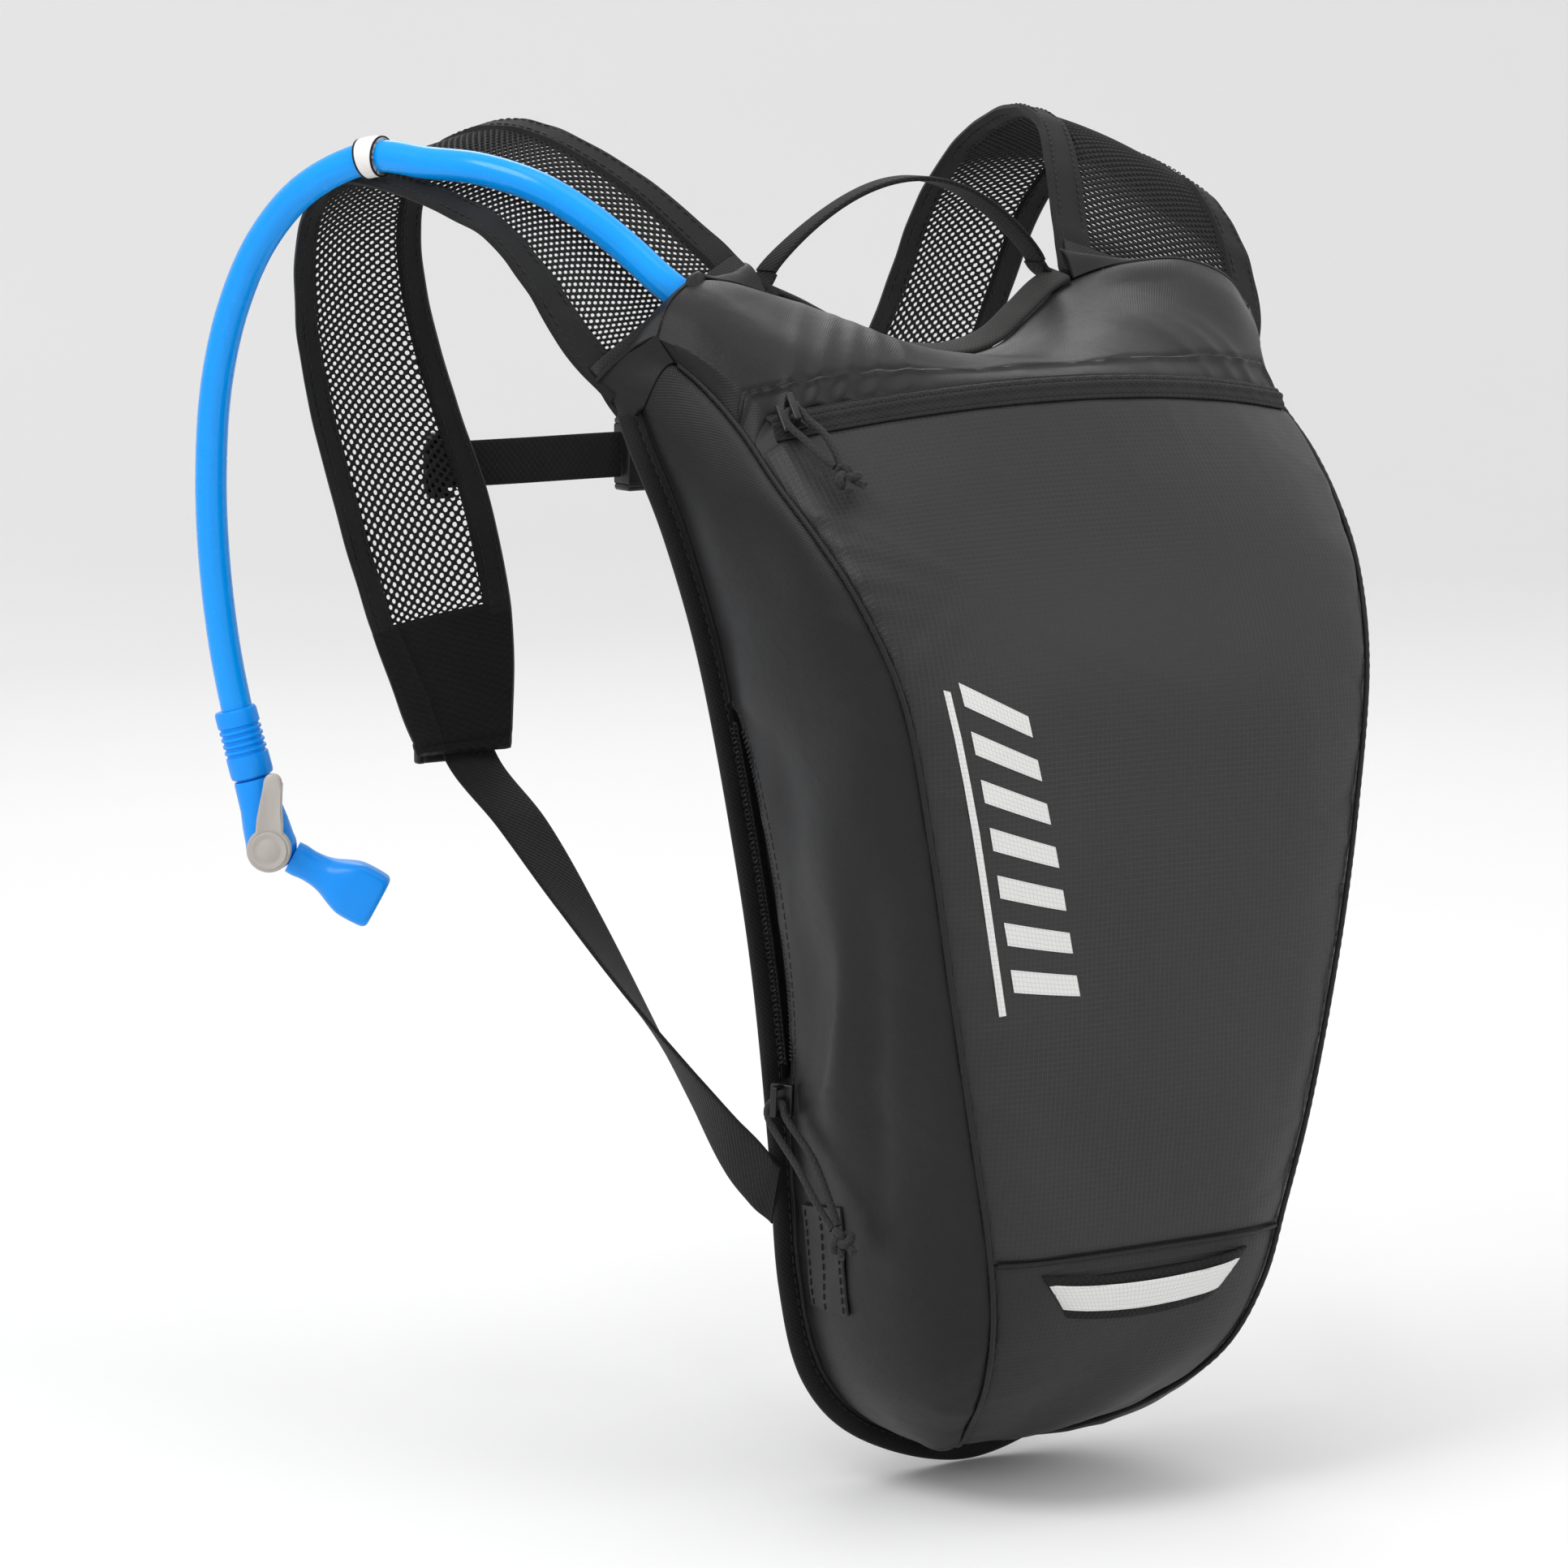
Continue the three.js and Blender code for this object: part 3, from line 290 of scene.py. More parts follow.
def slab_parts(grid, low, high, roll=0.35):
    """A sheet from `low` to `high` along its normals, with a rounded rim."""
    n = normals(grid)
    rows, columns = grid.shape[:2]
    top, bottom = grid + n * high, grid + n * low
    uv = lengths(grid)
    loop = [(0, j) for j in range(columns)] + [(i, columns - 1) for i in range(1, rows)]
    loop += [(rows - 1, j) for j in range(columns - 2, -1, -1)] + [(i, 0) for i in range(rows - 2, 0, -1)]
    li, lj = np.array(loop).T
    inner_i, inner_j = np.clip(li, 1, rows - 2), np.clip(lj, 1, columns - 2)
    away = unit(grid[li, lj] - grid[inner_i, inner_j])
    edge = grid[li, lj] + n[li, lj] * ((low + high) / 2) + away * abs(high - low) * roll
    total = rows * columns
    verts = np.concatenate([top.reshape(-1, 3), bottom.reshape(-1, 3), edge])
    coordinates = np.concatenate([uv.reshape(-1, 2), uv.reshape(-1, 2), uv[li, lj]])
    up = grid_faces(rows, columns)
    down = grid_faces(rows, columns, total)[:, ::-1]
    k = np.arange(len(loop))
    nxt = (k + 1) % len(loop)
    flat = li * columns + lj
    upper = np.stack([flat[nxt], flat[k], 2 * total + k, 2 * total + nxt], -1)
    lower = np.stack([2 * total + nxt, 2 * total + k, flat[k] + total, flat[nxt] + total], -1)
    faces = np.concatenate([up, down, upper, lower])
    if high < low:
        faces = faces[:, ::-1]
    return verts, faces, coordinates


def slab(name, grid, low, high, material, body, nodes=(), roll=0.35, sharp=50):
    verts, faces, uv = slab_parts(np.asarray(grid, float), low, high, roll)
    # rows run up and columns across, so the winding is turned where the normals point the other way
    return finish_mesh(name, (verts, faces[:, ::-1], uv), material, body, nodes, sharp)


def loft_parts(rings):
    """Closed rings of points joined along a path, with capped ends: rings is (stations, corners, 3)."""
    rings = np.asarray(rings, float)
    stations, corners = rings.shape[:2]
    around = np.linalg.norm(np.diff(np.concatenate([rings, rings[:, :1]], 1), axis=1), axis=2)
    a = np.concatenate([np.zeros((stations, 1)), np.cumsum(around, 1)[:, :-1]], 1)
    b = travelled(rings.mean(1))
    uv = np.stack([a, np.broadcast_to(b[:, None], a.shape)], -1).reshape(-1, 2)
    verts = rings.reshape(-1, 3)
    faces = grid_faces(stations, corners, close=True).tolist()
    centres = np.stack([rings[0].mean(0), rings[-1].mean(0)])
    verts = np.concatenate([verts, centres])
    uv = np.concatenate([uv, [[0, 0], [0, b[-1]]]])
    first, last = stations * corners, stations * corners + 1
    for j in range(corners):
        k = (j + 1) % corners
        faces.append([first, k, j])
        faces.append([last, (stations - 1) * corners + j, (stations - 1) * corners + k])
    return verts, faces, uv


def frames_along(path, hint=(0, 0, 1)):
    """Two directions across a path that don't twist along it."""
    path = np.asarray(path, float)
    tangents = unit(np.gradient(path, axis=0))
    side = unit(np.cross(tangents[0], hint))
    sides = [side]
    for t in tangents[1:]:
        side = unit(side - t * np.dot(side, t))
        sides.append(side)
    sides = np.array(sides)
    return sides, np.cross(tangents, sides)


def tube_rings(path, radius, sides=12, hint=(0, 0, 1)):
    path = np.asarray(path, float)
    x, y = frames_along(path, hint)
    radius = np.broadcast_to(np.asarray(radius, float), len(path))[:, None, None]
    angle = circle(sides)
    ring = x[:, None] * np.cos(angle)[None, :, None] + y[:, None] * np.sin(angle)[None, :, None]
    return path[:, None] + ring * radius


def rounded_section(width, thick, corners=20, power=3.0):
    """Outline of a flat strip with round edges, as [across, through] pairs."""
    angle = circle(corners)
    c, s = np.cos(angle), np.sin(angle)
    x = np.sign(c) * np.abs(c) ** (2 / (power + 4)) * width / 2
    y = np.sign(s) * np.abs(s) ** (2 / power) * thick / 2
    return np.stack([x, y], -1)


def strip_rings(path, across, section):
    """Rings of a strip along a path whose width lies along `across`."""
    path, across = np.asarray(path, float), unit(across)
    tangents = unit(np.gradient(path, axis=0))
    through = unit(np.cross(tangents, across))
    return path[:, None] + across[:, None] * section[None, :, :1] + through[:, None] * section[None, :, 1:]


def joined(parts):
    """One set of vertices, faces and coordinates from several."""
    verts, faces, uvs, start = [], [], [], 0
    for v, f, uv in parts:
        v = np.asarray(v, float).reshape(-1, 3)
        verts.append(v)
        uvs.append(np.asarray(uv, float).reshape(-1, 2))
        faces.extend([[int(k) + start for k in face] for face in f])
        start += len(v)
    return np.concatenate(verts), faces, np.concatenate(uvs)


def stitch_parts(path, lift, length=2.3, gap=1.1, radius=0.3):
    """Short thread stitches along a path of points; `lift` is the direction out of the cloth."""
    path = np.asarray(path, float)
    steps = travelled(path)
    lift = np.broadcast_to(np.asarray(lift, float), path.shape)
    parts = []
    for start in np.arange(gap / 2, steps[-1] - length, length + gap):
        along = start + length * np.array([0, 0.12, 0.5, 0.88, 1])
        centre = np.stack([np.interp(along, steps, path[:, k]) for k in range(3)], -1)
        out = unit(np.stack([np.interp(along, steps, lift[:, k]) for k in range(3)], -1))
        centre += out * (radius * np.array([-0.9, 0.25, 0.5, 0.25, -0.9]))[:, None]
        tangent = unit(np.gradient(centre, axis=0))
        side = unit(np.cross(tangent, out))
        angle = circle(6)
        size = radius * np.array([0.55, 1, 1, 1, 0.55])[:, None, None]
        cos, sin = np.cos(angle)[None, :, None], np.sin(angle)[None, :, None]
        ring = side[:, None] * cos + np.cross(side, tangent)[:, None] * sin
        parts.append(loft_parts(centre[:, None] + ring * size))
    return parts


def lathe_parts(profile, origin, axis, segments=40):
    """A turned solid: profile is [radius, distance] pairs from axis to axis."""
    axis = unit(axis)
    x = unit(np.cross(axis, [0.3, 0.2, 1.0]))
    y = np.cross(axis, x)
    angle = circle(segments)
    rings = []
    for r, d in profile:
        r = max(r, 1e-3)
        rings.append(origin + axis * d + x * (r * np.cos(angle))[:, None]
                     + y * (r * np.sin(angle))[:, None])
    return loft_parts(rings)


# ------------------------------------------------------------------ materials


class Shader:
    """A node material with a Principled shader. Lengths in its patterns are millimetres."""

    def __init__(self, name, color, rough, metal=0.0, **sockets):
        self.material = bpy.data.materials.new(name)
        self.material.use_nodes = True
        self.tree = self.material.node_tree
        self.bsdf = self.tree.nodes["Principled BSDF"]
        self.color = color
        self.bsdf.inputs["Base Color"].default_value = (*color, 1)
        self.bsdf.inputs["Roughness"].default_value = rough
        self.bsdf.inputs["Metallic"].default_value = metal
        for key, value in sockets.items():
            self.bsdf.inputs[key.replace("_", " ")].default_value = value

    def node(self, kind, **settings):
        made = self.tree.nodes.new(kind)
        for key, value in settings.items():
            setattr(made, key, value)
        return made

    def link(self, source, target):
        if isinstance(source, (int, float)):
            target.default_value = source
        else:
            self.tree.links.new(source, target)

    def math(self, operation, a, b=0.0, c=0.0):
        made = self.node("ShaderNodeMath", operation=operation)
        for value, socket in zip((a, b, c), made.inputs):
            self.link(value, socket)
        return made.outputs[0]

    def cloth_uv(self):
        uv = self.node("ShaderNodeUVMap", uv_map="cloth")
        apart = self.node("ShaderNodeSeparateXYZ")
        self.tree.links.new(uv.outputs[0], apart.inputs[0])
        return uv.outputs[0], apart.outputs[0], apart.outputs[1]

    def noise(self, scale, detail=3.0, vector=None, rough=0.6):
        """Noise with `scale` features per metre in space, or per millimetre along the cloth."""
        made = self.node("ShaderNodeTexNoise")
        made.inputs["Scale"].default_value = scale
        made.inputs["Detail"].default_value = detail
        made.inputs["Roughness"].default_value = rough
        if vector is None:
            vector = self.node("ShaderNodeTexCoord").outputs["Object"]
        self.tree.links.new(vector, made.inputs["Vector"])
        return made.outputs["Fac"]

    def between(self, value, low, high, to_low=0.0, to_high=1.0):
        made = self.node("ShaderNodeMapRange", clamp=True)
        for key, number in zip(("From Min", "From Max", "To Min", "To Max"), (low, high, to_low, to_high)):
            made.inputs[key].default_value = number
        self.link(value, made.inputs["Value"])
        return made.outputs["Result"]

    def blend(self, factor, dark, light):
        made = self.node("ShaderNodeMix", data_type="RGBA")
        self.link(factor, made.inputs["Factor"])
        for color, socket in ((dark, made.inputs["A"]), (light, made.inputs["B"])):
            if isinstance(color, tuple):
                socket.default_value = (*color, 1)
            else:
                self.tree.links.new(color, socket)
        return made.outputs["Result"]

    def paint(self, color):
        self.tree.links.new(color, self.bsdf.inputs["Base Color"])
        return self

    def polish(self, value):
        self.link(value, self.bsdf.inputs["Roughness"])
        return self

    def relief(self, *layers):
        """Bump layers as (height, depth in millimetres)."""
        normal = None
        for height, depth in layers:
            bump = self.node("ShaderNodeBump")
            bump.inputs["Distance"].default_value = depth * 0.001
            self.tree.links.new(height, bump.inputs["Height"])
            if normal is not None:
                self.tree.links.new(normal, bump.inputs["Normal"])
            normal = bump.outputs["Normal"]
        self.tree.links.new(normal, self.bsdf.inputs["Normal"])
        return self


def grey(value, warm=0.0):
    return (value * (1 + warm), value, value * (1 - warm))


def scaled(color, k):
    return tuple(c * k for c in color)


def weave_height(sh, u, v, pitch_u, pitch_v):
    a = sh.math("SINE", sh.math("MULTIPLY", u, math.pi / pitch_u))
    b = sh.math("SINE", sh.math("MULTIPLY", v, math.pi / pitch_v))
    return sh.math("MULTIPLY_ADD", sh.math("MULTIPLY", a, b), 0.5, 0.5)


def ridge_lines(sh, value, pitch, power=14.0):
    wave = sh.math("ABSOLUTE", sh.math("COSINE", sh.math("MULTIPLY", value, math.pi / pitch)))
    return sh.math("POWER", wave, power)


def ripstop_cloth(name, value, rough=0.5, grid=1.7, strong=0.35, sheen=0.15):
    """Thin nylon: a fine plain weave with a grid of heavier threads."""
    sh = Shader(name, grey(value), rough, Sheen_Weight=sheen, Sheen_Roughness=0.4, Specular_IOR_Level=0.3)
    _, u, v = sh.cloth_uv()
    weave = weave_height(sh, u, v, 0.42, 0.42)
    lines = sh.math("MAXIMUM", ridge_lines(sh, u, grid), ridge_lines(sh, v, grid))
    cloud = sh.noise(14, 4)
    fine = sh.noise(900, 2)
    level = sh.math("ADD", sh.math("MULTIPLY", weave, 0.2), sh.math("MULTIPLY", lines, strong))
    level = sh.math("ADD", level, sh.between(cloud, 0.3, 0.7, 0.0, 0.35))
    level = sh.math("ADD", level, sh.math("MULTIPLY", fine, 0.15))
    sh.paint(sh.blend(level, scaled(grey(value), 0.72), scaled(grey(value), 1.45)))
    sh.polish(sh.between(cloud, 0.3, 0.7, rough - 0.05, rough + 0.06))
    return sh.relief((weave, 0.05), (lines, 0.06), (sh.noise(55, 3), 0.5)).material


def plain_cloth(name, value, rough=0.55, pitch=0.5, sheen=0.12, warm=0.0):
    sh = Shader(name, grey(value, warm), rough, Sheen_Weight=sheen, Sheen_Roughness=0.45,
                Specular_IOR_Level=0.28)
    _, u, v = sh.cloth_uv()
    weave = weave_height(sh, u, v, pitch, pitch)
    cloud = sh.noise(18, 4)
    level = sh.math("ADD", sh.math("MULTIPLY", weave, 0.35), sh.between(cloud, 0.3, 0.7, 0.0, 0.5))
    sh.paint(sh.blend(level, scaled(grey(value, warm), 0.75), scaled(grey(value, warm), 1.35)))
    sh.polish(sh.between(cloud, 0.3, 0.7, rough - 0.05, rough + 0.06))
    return sh.relief((weave, 0.06), (sh.noise(60, 3), 0.4)).material


def ribbed_tape(name, value, pitch_u=0.9, pitch_v=1.3, rough=0.75, depth=0.16, warm=0.0, sheen=0.2):
    """Woven tape or webbing: short ribs across it that alternate along it."""
    sh = Shader(name, grey(value, warm), rough, Sheen_Weight=sheen, Sheen_Roughness=0.5,
                Specular_IOR_Level=0.2)
    _, u, v = sh.cloth_uv()
    weave = weave_height(sh, u, v, pitch_u, pitch_v)
    cloud = sh.noise(70, 4)
    level = sh.math("ADD", sh.math("MULTIPLY", weave, 0.45), sh.between(cloud, 0.25, 0.75, 0.0, 0.5))
    sh.paint(sh.blend(level, scaled(grey(value, warm), 0.6), scaled(grey(value, warm), 1.5)))
    return sh.relief((weave, depth), (sh.noise(1500, 2), 0.05)).material


def plastic(name, color, rough=0.4, grain=0.03, coat=0.0, **sockets):
    sh = Shader(name, color, rough, Coat_Weight=coat, Coat_Roughness=0.15, **sockets)
    cloud = sh.noise(40, 3)
    fine = sh.noise(2200, 2)
    sh.paint(sh.blend(cloud, scaled(color, 0.88), scaled(color, 1.12)))
    sh.polish(sh.between(sh.noise(300, 3), 0.3, 0.7, rough - 0.05, rough + 0.08))
    return sh.relief((fine, grain)).material


def soft_blue(name, color, rough=0.22, through=0.25):
    """Soft blue tube: glossy, with a little light coming through its wall."""
    sh = Shader(
        name, color, rough, Coat_Weight=0.2, Coat_Roughness=0.12, IOR=1.4, Specular_IOR_Level=0.3,
        Subsurface_Weight=through, Subsurface_Scale=0.004,
    )
    sh.bsdf.inputs["Subsurface Radius"].default_value = (0.3, 0.7, 1.0)
    cloud = sh.noise(30, 4)
    sh.paint(sh.blend(cloud, scaled(color, 0.95), scaled(color, 1.05)))
    sh.polish(sh.between(sh.noise(160, 3), 0.3, 0.7, rough - 0.04, rough + 0.08))
    return sh.relief((sh.noise(260, 3), 0.03)).material


# The panels' base tones differ: the front is lightest, the lower front panel darker, and the gussets and
# yoke darkest. This is painted light and shade for how each face is lit, on cloth that is near-black all
# over.
FRONT = ripstop_cloth("front_ripstop", 0.017, rough=0.40, sheen=0.02)
LOWER = ripstop_cloth("lower_ripstop", 0.011, rough=0.44, strong=0.15, sheen=0.02)
SIDE = plain_cloth("side_cloth", 0.0055, rough=0.46, pitch=0.5, sheen=0.02)
YOKE = plain_cloth("yoke_cloth", 0.0055, rough=0.36, pitch=0.45, sheen=0.02)
TAPE = ribbed_tape("binding_tape", 0.009, 0.8, 0.8, depth=0.1, sheen=0.04)
NECK_TAPE = ribbed_tape("neck_tape", 0.022, 0.8, 0.9, depth=0.12, warm=0.03, sheen=0.05)
BINDING = ribbed_tape("strap_binding", 0.009, 0.55, 0.55, depth=0.08, sheen=0.04)
WEB = ribbed_tape("webbing", 0.0065, 1.3, 1.1, depth=0.22, sheen=0.03)
TIP = ribbed_tape("strap_tip_weave", 0.005, 2.2, 1.1, depth=0.25, sheen=0.02)
ZIP_TAPE = ribbed_tape("zip_tape", 0.015, 0.7, 1.2, depth=0.14, sheen=0.04)
COIL = plastic("zip_coil", (0.006, 0.006, 0.0065), 0.45, Specular_IOR_Level=0.3)
MESH = plain_cloth("strap_mesh_yarn", 0.006, rough=0.7, pitch=0.5, sheen=0.03)
THREAD = plain_cloth("thread", 0.014, rough=0.6, pitch=0.3, sheen=0.02)
CORD = ribbed_tape("pull_cord", 0.024, 0.9, 1.1, depth=0.2, sheen=0.05)
LINING_MATERIAL = plain_cloth("lining", 0.006, rough=0.6, sheen=0.02)
FOAM = plain_cloth("foam", 0.02, rough=0.85, pitch=1.4)
BACK_MESH = plain_cloth("back_mesh", 0.018, rough=0.75, pitch=1.1, sheen=0.08)
BLACK = plastic("black_plastic", (0.006, 0.006, 0.0065), 0.4, grain=0.05, Specular_IOR_Level=0.35)
METAL = plastic("slider_metal", (0.014, 0.014, 0.015), 0.35, Metallic=0.4)
HOSE = soft_blue("hose_blue", (0.0, 0.31, 0.88))
BITE = soft_blue("bite_blue", (0.0, 0.28, 0.86), rough=0.4, through=0.3)
LEVER = plastic("lever_grey", (0.42, 0.39, 0.36), 0.38, coat=0.15)
KEEPER = plastic("keeper_white", (0.78, 0.76, 0.74), 0.5)
BAG_FILM = plastic("bladder_film", (0.35, 0.58, 0.72), 0.2, Transmission_Weight=0.6)
CAP_BLUE = plastic("cap_blue", (0.01, 0.18, 0.55), 0.4)


def reflective_material():
    """White reflective tape with a faint honeycomb of cells."""
    sh = Shader("reflective", (0.6, 0.6, 0.6), 0.45)
    uv = sh.cloth_uv()[0]
    cells = sh.node("ShaderNodeTexVoronoi", feature="DISTANCE_TO_EDGE")
    cells.inputs["Scale"].default_value = 0.7
    cells.inputs["Randomness"].default_value = 0.15
    sh.tree.links.new(uv, cells.inputs["Vector"])
    edge = sh.between(cells.outputs["Distance"], 0.0, 0.08)
    sh.paint(sh.blend(edge, (0.42, 0.42, 0.42), (0.64, 0.64, 0.63)))
    return sh.relief((edge, 0.04)).material


REFLECTIVE = reflective_material()

# ------------------------------------------------------------------ outline and surfaces of the bag

BINDING_WIDTH, BINDING_THICK = 6.5, 3.0
LEAN_FROM, LEAN_SPAN, LEAN_DEPTH, LEAN_POWER = 200.0, 166.0, 30.0, 4.5
SEAM_LOWER, SEAM_ZIP = 0.292, 0.895
POCKET_FROM, POCKET_TO = 0.44, 0.745

half_outline = [
    [0, 0], [40, 11], [62.5, 31.5], [72, 63], [76, 108], [82, 160],
    [90, 205], [101, 255], [112.5, 294], [122, 322], [124, 337],
]


def symmetric(half):
    return Spline([[-x, h] for x, h in half[:0:-1]] + half, 900)


edge_line = symmetric(half_outline)
seam_line = Spline([
    [9, -5, 7.5], [22, -26, 12], [36, -50, 24], [46, -71, 42], [52, -82, 64], [57, -86, 88],
    [64, -88.5, 117], [74.5, -90, 169], [81, -89.5, 208], [88.5, -85, 253], [95, -72, 281],
    [99, -58, 298], [102, -42, 313], [102.5, -24, 328], [106, -8, 341], [112, 3, 350],
], 900)


def lean(height):
    return LEAN_DEPTH * (np.maximum(height - LEAN_FROM, 0) / LEAN_SPAN) ** LEAN_POWER


def edge_point(s, inset, side=1):
    """Point `inset` inside the taped edge; s is 0 at the bottom, 1 at the top."""
    s = np.asarray(s, float)
    p, t = edge_line.at(0.5 + s / 2), edge_line.tangent(0.5 + s / 2)
    x = p[..., 0] - t[..., 1] * inset
    height = p[..., 1] + t[..., 0] * inset
    return np.stack([side * x, lean(height), height], -1)


def mirror(p, side):
    return p * np.array([side, 1, 1])


def gusset_surface(s, v, side):
    """Side gusset: s up the seams, v from the taped edge to the front seam."""
    s, v = np.broadcast_arrays(np.asarray(s, float), np.asarray(v, float))
    start = edge_point(s, BINDING_WIDTH + 2 * GAP)
    start[..., 1] -= BINDING_THICK + GAP
    end = seam_line.at(s)
    depth = np.linalg.norm(end - start, axis=-1)
    out = edge_point(s, 0) - edge_point(s, 1)
    out[..., 1] = 0
    out = unit(out)
    reach = np.minimum(28, 0.3 * depth)[..., None]
    first = start + out * (13 * np.minimum(depth / 90, 1))[..., None]
    first[..., 1] -= 0.38 * depth
    second = end + out * 0.75 * reach
    second[..., 1] += 0.7 * reach[..., 0]
    k = v[..., None]
    p = (1 - k) ** 3 * start + 3 * k * (1 - k) ** 2 * first + 3 * k**2 * (1 - k) * second + k**3 * end
    return mirror(p, side)


def gusset_start(s, side):
    """Where along v the gusset starts: the left one leaves the pocket's mouth open."""
    k = np.clip((np.asarray(s, float) - POCKET_FROM) / (POCKET_TO - POCKET_FROM), 0, 1)
    mouth = 0.135 * np.sin(np.pi * k) ** 0.4
    return 0.012 + (mouth if side < 0 else 0 * mouth)


ZIP_TIP = math.radians(26.6)
ZIP_HALF_ANGLE, ZIP_BAND, ZIP_RADIUS = 23.5, 5.0, 245.0
zip_axis = np.array([0, math.sin(ZIP_TIP), math.cos(ZIP_TIP)])
zip_apex = np.array([0, -50.0, 339.0])
zip_centre = zip_apex + ZIP_RADIUS * np.array([0, zip_axis[2], -zip_axis[1]])


def zip_point(degrees, k):
    """Point round the zip's circle, k below it, or above it where k is negative."""
    degrees, k = np.broadcast_arrays(np.asarray(degrees, float), np.asarray(k, float))
    way = np.where((k > 0)[..., None], [0, -0.6, -0.8], [0, 0.95, 0.31])
    p = zip_apex - zip_centre + way * np.abs(k)[..., None]
    return rotated(p, zip_axis, np.radians(degrees)) + zip_centre


def zip_angle(u, trim=0.4):
    return mix(trim - ZIP_HALF_ANGLE, ZIP_HALF_ANGLE - trim, u)


def front_row(u, s, crown, trim=0.9):
    right = seam_line.at(s)
    right[..., 0] -= trim
    left = mirror(right, -1)
    p = mix(left, right, u[..., None])
    p[..., 1] -= crown * (1 - np.abs(2 * u - 1) ** 5)
    return p


def front_surface(u, v):
    s = mix(SEAM_LOWER + 0.004, SEAM_ZIP, v)
    p = front_row(u, s, 6)
    chord = front_row(u, np.full_like(s, SEAM_ZIP), 6)
    target = zip_point(zip_angle(u), ZIP_BAND + GAP)
    return p + (target - chord) * (v**3)[..., None]


def lower_front_surface(u, v):
    return front_row(u, mix(0.012, SEAM_LOWER - 0.004, v), 6 * v)


yoke_top = Spline([
    [-20, 12.5, 346], [0, 9, 343], [20, 12.5, 346], [36, 18, 353.5], [50, 22, 361], [64, 22.5, 366],
    [79, 18.5, 369.5], [95, 12, 370], [108, 6, 364], [114, 3, 354],
])


def yoke_top_point(u):
    u = np.asarray(u, float)
    p = yoke_top.point(mix(1 / 9, 1, np.abs(2 * u - 1)))
    p[..., 0] *= np.where(u < 0.5, -1, 1)
    return p


def yoke_surface(u, v):
    low = zip_point(zip_angle(u), -ZIP_BAND - GAP)
    p = mix(low, yoke_top_point(u), v[..., None])
    p[..., 2] += 3 * 4 * v * (1 - v)
    return p


def spread(first, rows, second, columns):
    """Two parameters over a grid: the first changes from row to row, the second along each row."""
    return np.meshgrid(np.linspace(*first, rows), np.linspace(*second, columns), indexing="ij")


def pucker(along, away, spots):
    """Small folds that run away from a seam: spots are (place, width, reach, height, slant)."""
    total = np.zeros(np.broadcast(along, away).shape)
    for place, width, reach, height, slant in spots:
        line = np.exp(-(((along - place - slant * away) / width) ** 2))
        total += height * line * (away / (away + 1.5)) * np.exp(-away / reach)
    return total


def scattered(seed, start, stop, spacing, width, reach, height, slant=0.2):
    """Random but fixed fold places along a seam."""
    rng = np.random.default_rng(seed)
    spots, at, sign = [], start, 1
    while at < stop:
        size = rng.uniform(0.5, 1.0)
        spots.append((at, width * rng.uniform(0.7, 1.3), reach * rng.uniform(0.6, 1.3),
                      sign * height * size,
                      slant * rng.uniform(-1, 1.6)))
        at += spacing * rng.uniform(0.6, 1.4)
        sign = -sign
    return spots


SEAM_LENGTH = seam_line.length


# ------------------------------------------------------------------ gussets


def build_gusset(label, side):
    s, v = spread((0.012, 0.995), 190, (0, 1), 46)
    start = gusset_start(s, side)
    grid = gusset_surface(s, mix(start, 1.0, v), side)
    # the cloth runs on under the taped edge, except at the pocket's mouth
    hem_s = s[:, :3]
    hem = edge_point(hem_s, mix(5.2, 6.9, np.linspace(0, 1, 3)), side)
    hem[..., 1] -= mix(2.6, 3.2, np.linspace(0, 1, 3))
    closed = smoothstep(0.03 - (start[:, :3] - 0.012), 0, 0.03)[..., None]
    hem = mix(grid[:, :1] - (grid[:, 1:2] - grid[:, :1]) * np.array([1.5, 1.0, 0.5])[:, None], hem, closed)
    grid = np.concatenate([hem, grid], 1)
    s, v = np.concatenate([hem_s, s], 1), np.concatenate([0 * hem_s, v], 1)
    n = normals_toward(grid, [side, -0.4, 0])
    seam_gap = apart(grid, grid[:, -1:])
    edge_gap = apart(grid, grid[:, :1])
    along = s * SEAM_LENGTH
    waves = 1.7 * ripple(grid[..., 1], grid[..., 2], 11 + side, 60)
    move = waves * smoothstep(seam_gap, 2, 25) * smoothstep(edge_gap, 2, 25)
    move += pucker(along, seam_gap, scattered(5 + side, 40, 330, 13, 3.2, 14, 1.1, 0.6))
    move += pucker(along, edge_gap, scattered(9 + side, 30, 360, 17, 4, 12, 0.8))
    move -= 1.1 * np.exp(-seam_gap / 1.3) + 0.8 * np.exp(-edge_gap / 1.5)
    if side < 0:
        # the lip of the pocket's mouth stands a little proud, and the cloth below it falls in a soft fold
        k = np.clip((s - POCKET_FROM) / (POCKET_TO - POCKET_FROM), 0, 1)
        lip = np.sin(np.pi * k) ** 0.7
        move += lip * (1.0 * np.exp(-(edge_gap / 9) ** 2) - 1.6 * np.exp(-((edge_gap - 24) / 10) ** 2))
        fold = hill(s, 0.47, 0.10) * np.exp(-(((v - 0.42 - 0.6 * (s - 0.47)) / 0.09) ** 2))
        dip = hill(s, 0.42, 0.09) * np.exp(-(((v - 0.60 - 0.5 * (s - 0.42)) / 0.08) ** 2))
        fold -= 0.8 * dip
        move += 2.4 * fold
    grid = grid + n * move[..., None]
    slab(f"{label}_gusset_cloth", grid, -CLOTH * agrees(grid, n), 0.0, SIDE, "pack", [f"{label}_gusset"])


for label, side in SIDES:
    build_gusset(label, side)


def seam_cord(name, path, radius):
    finish_mesh(name, loft_parts(tube_rings(path, radius, 8)), SIDE, "pack")


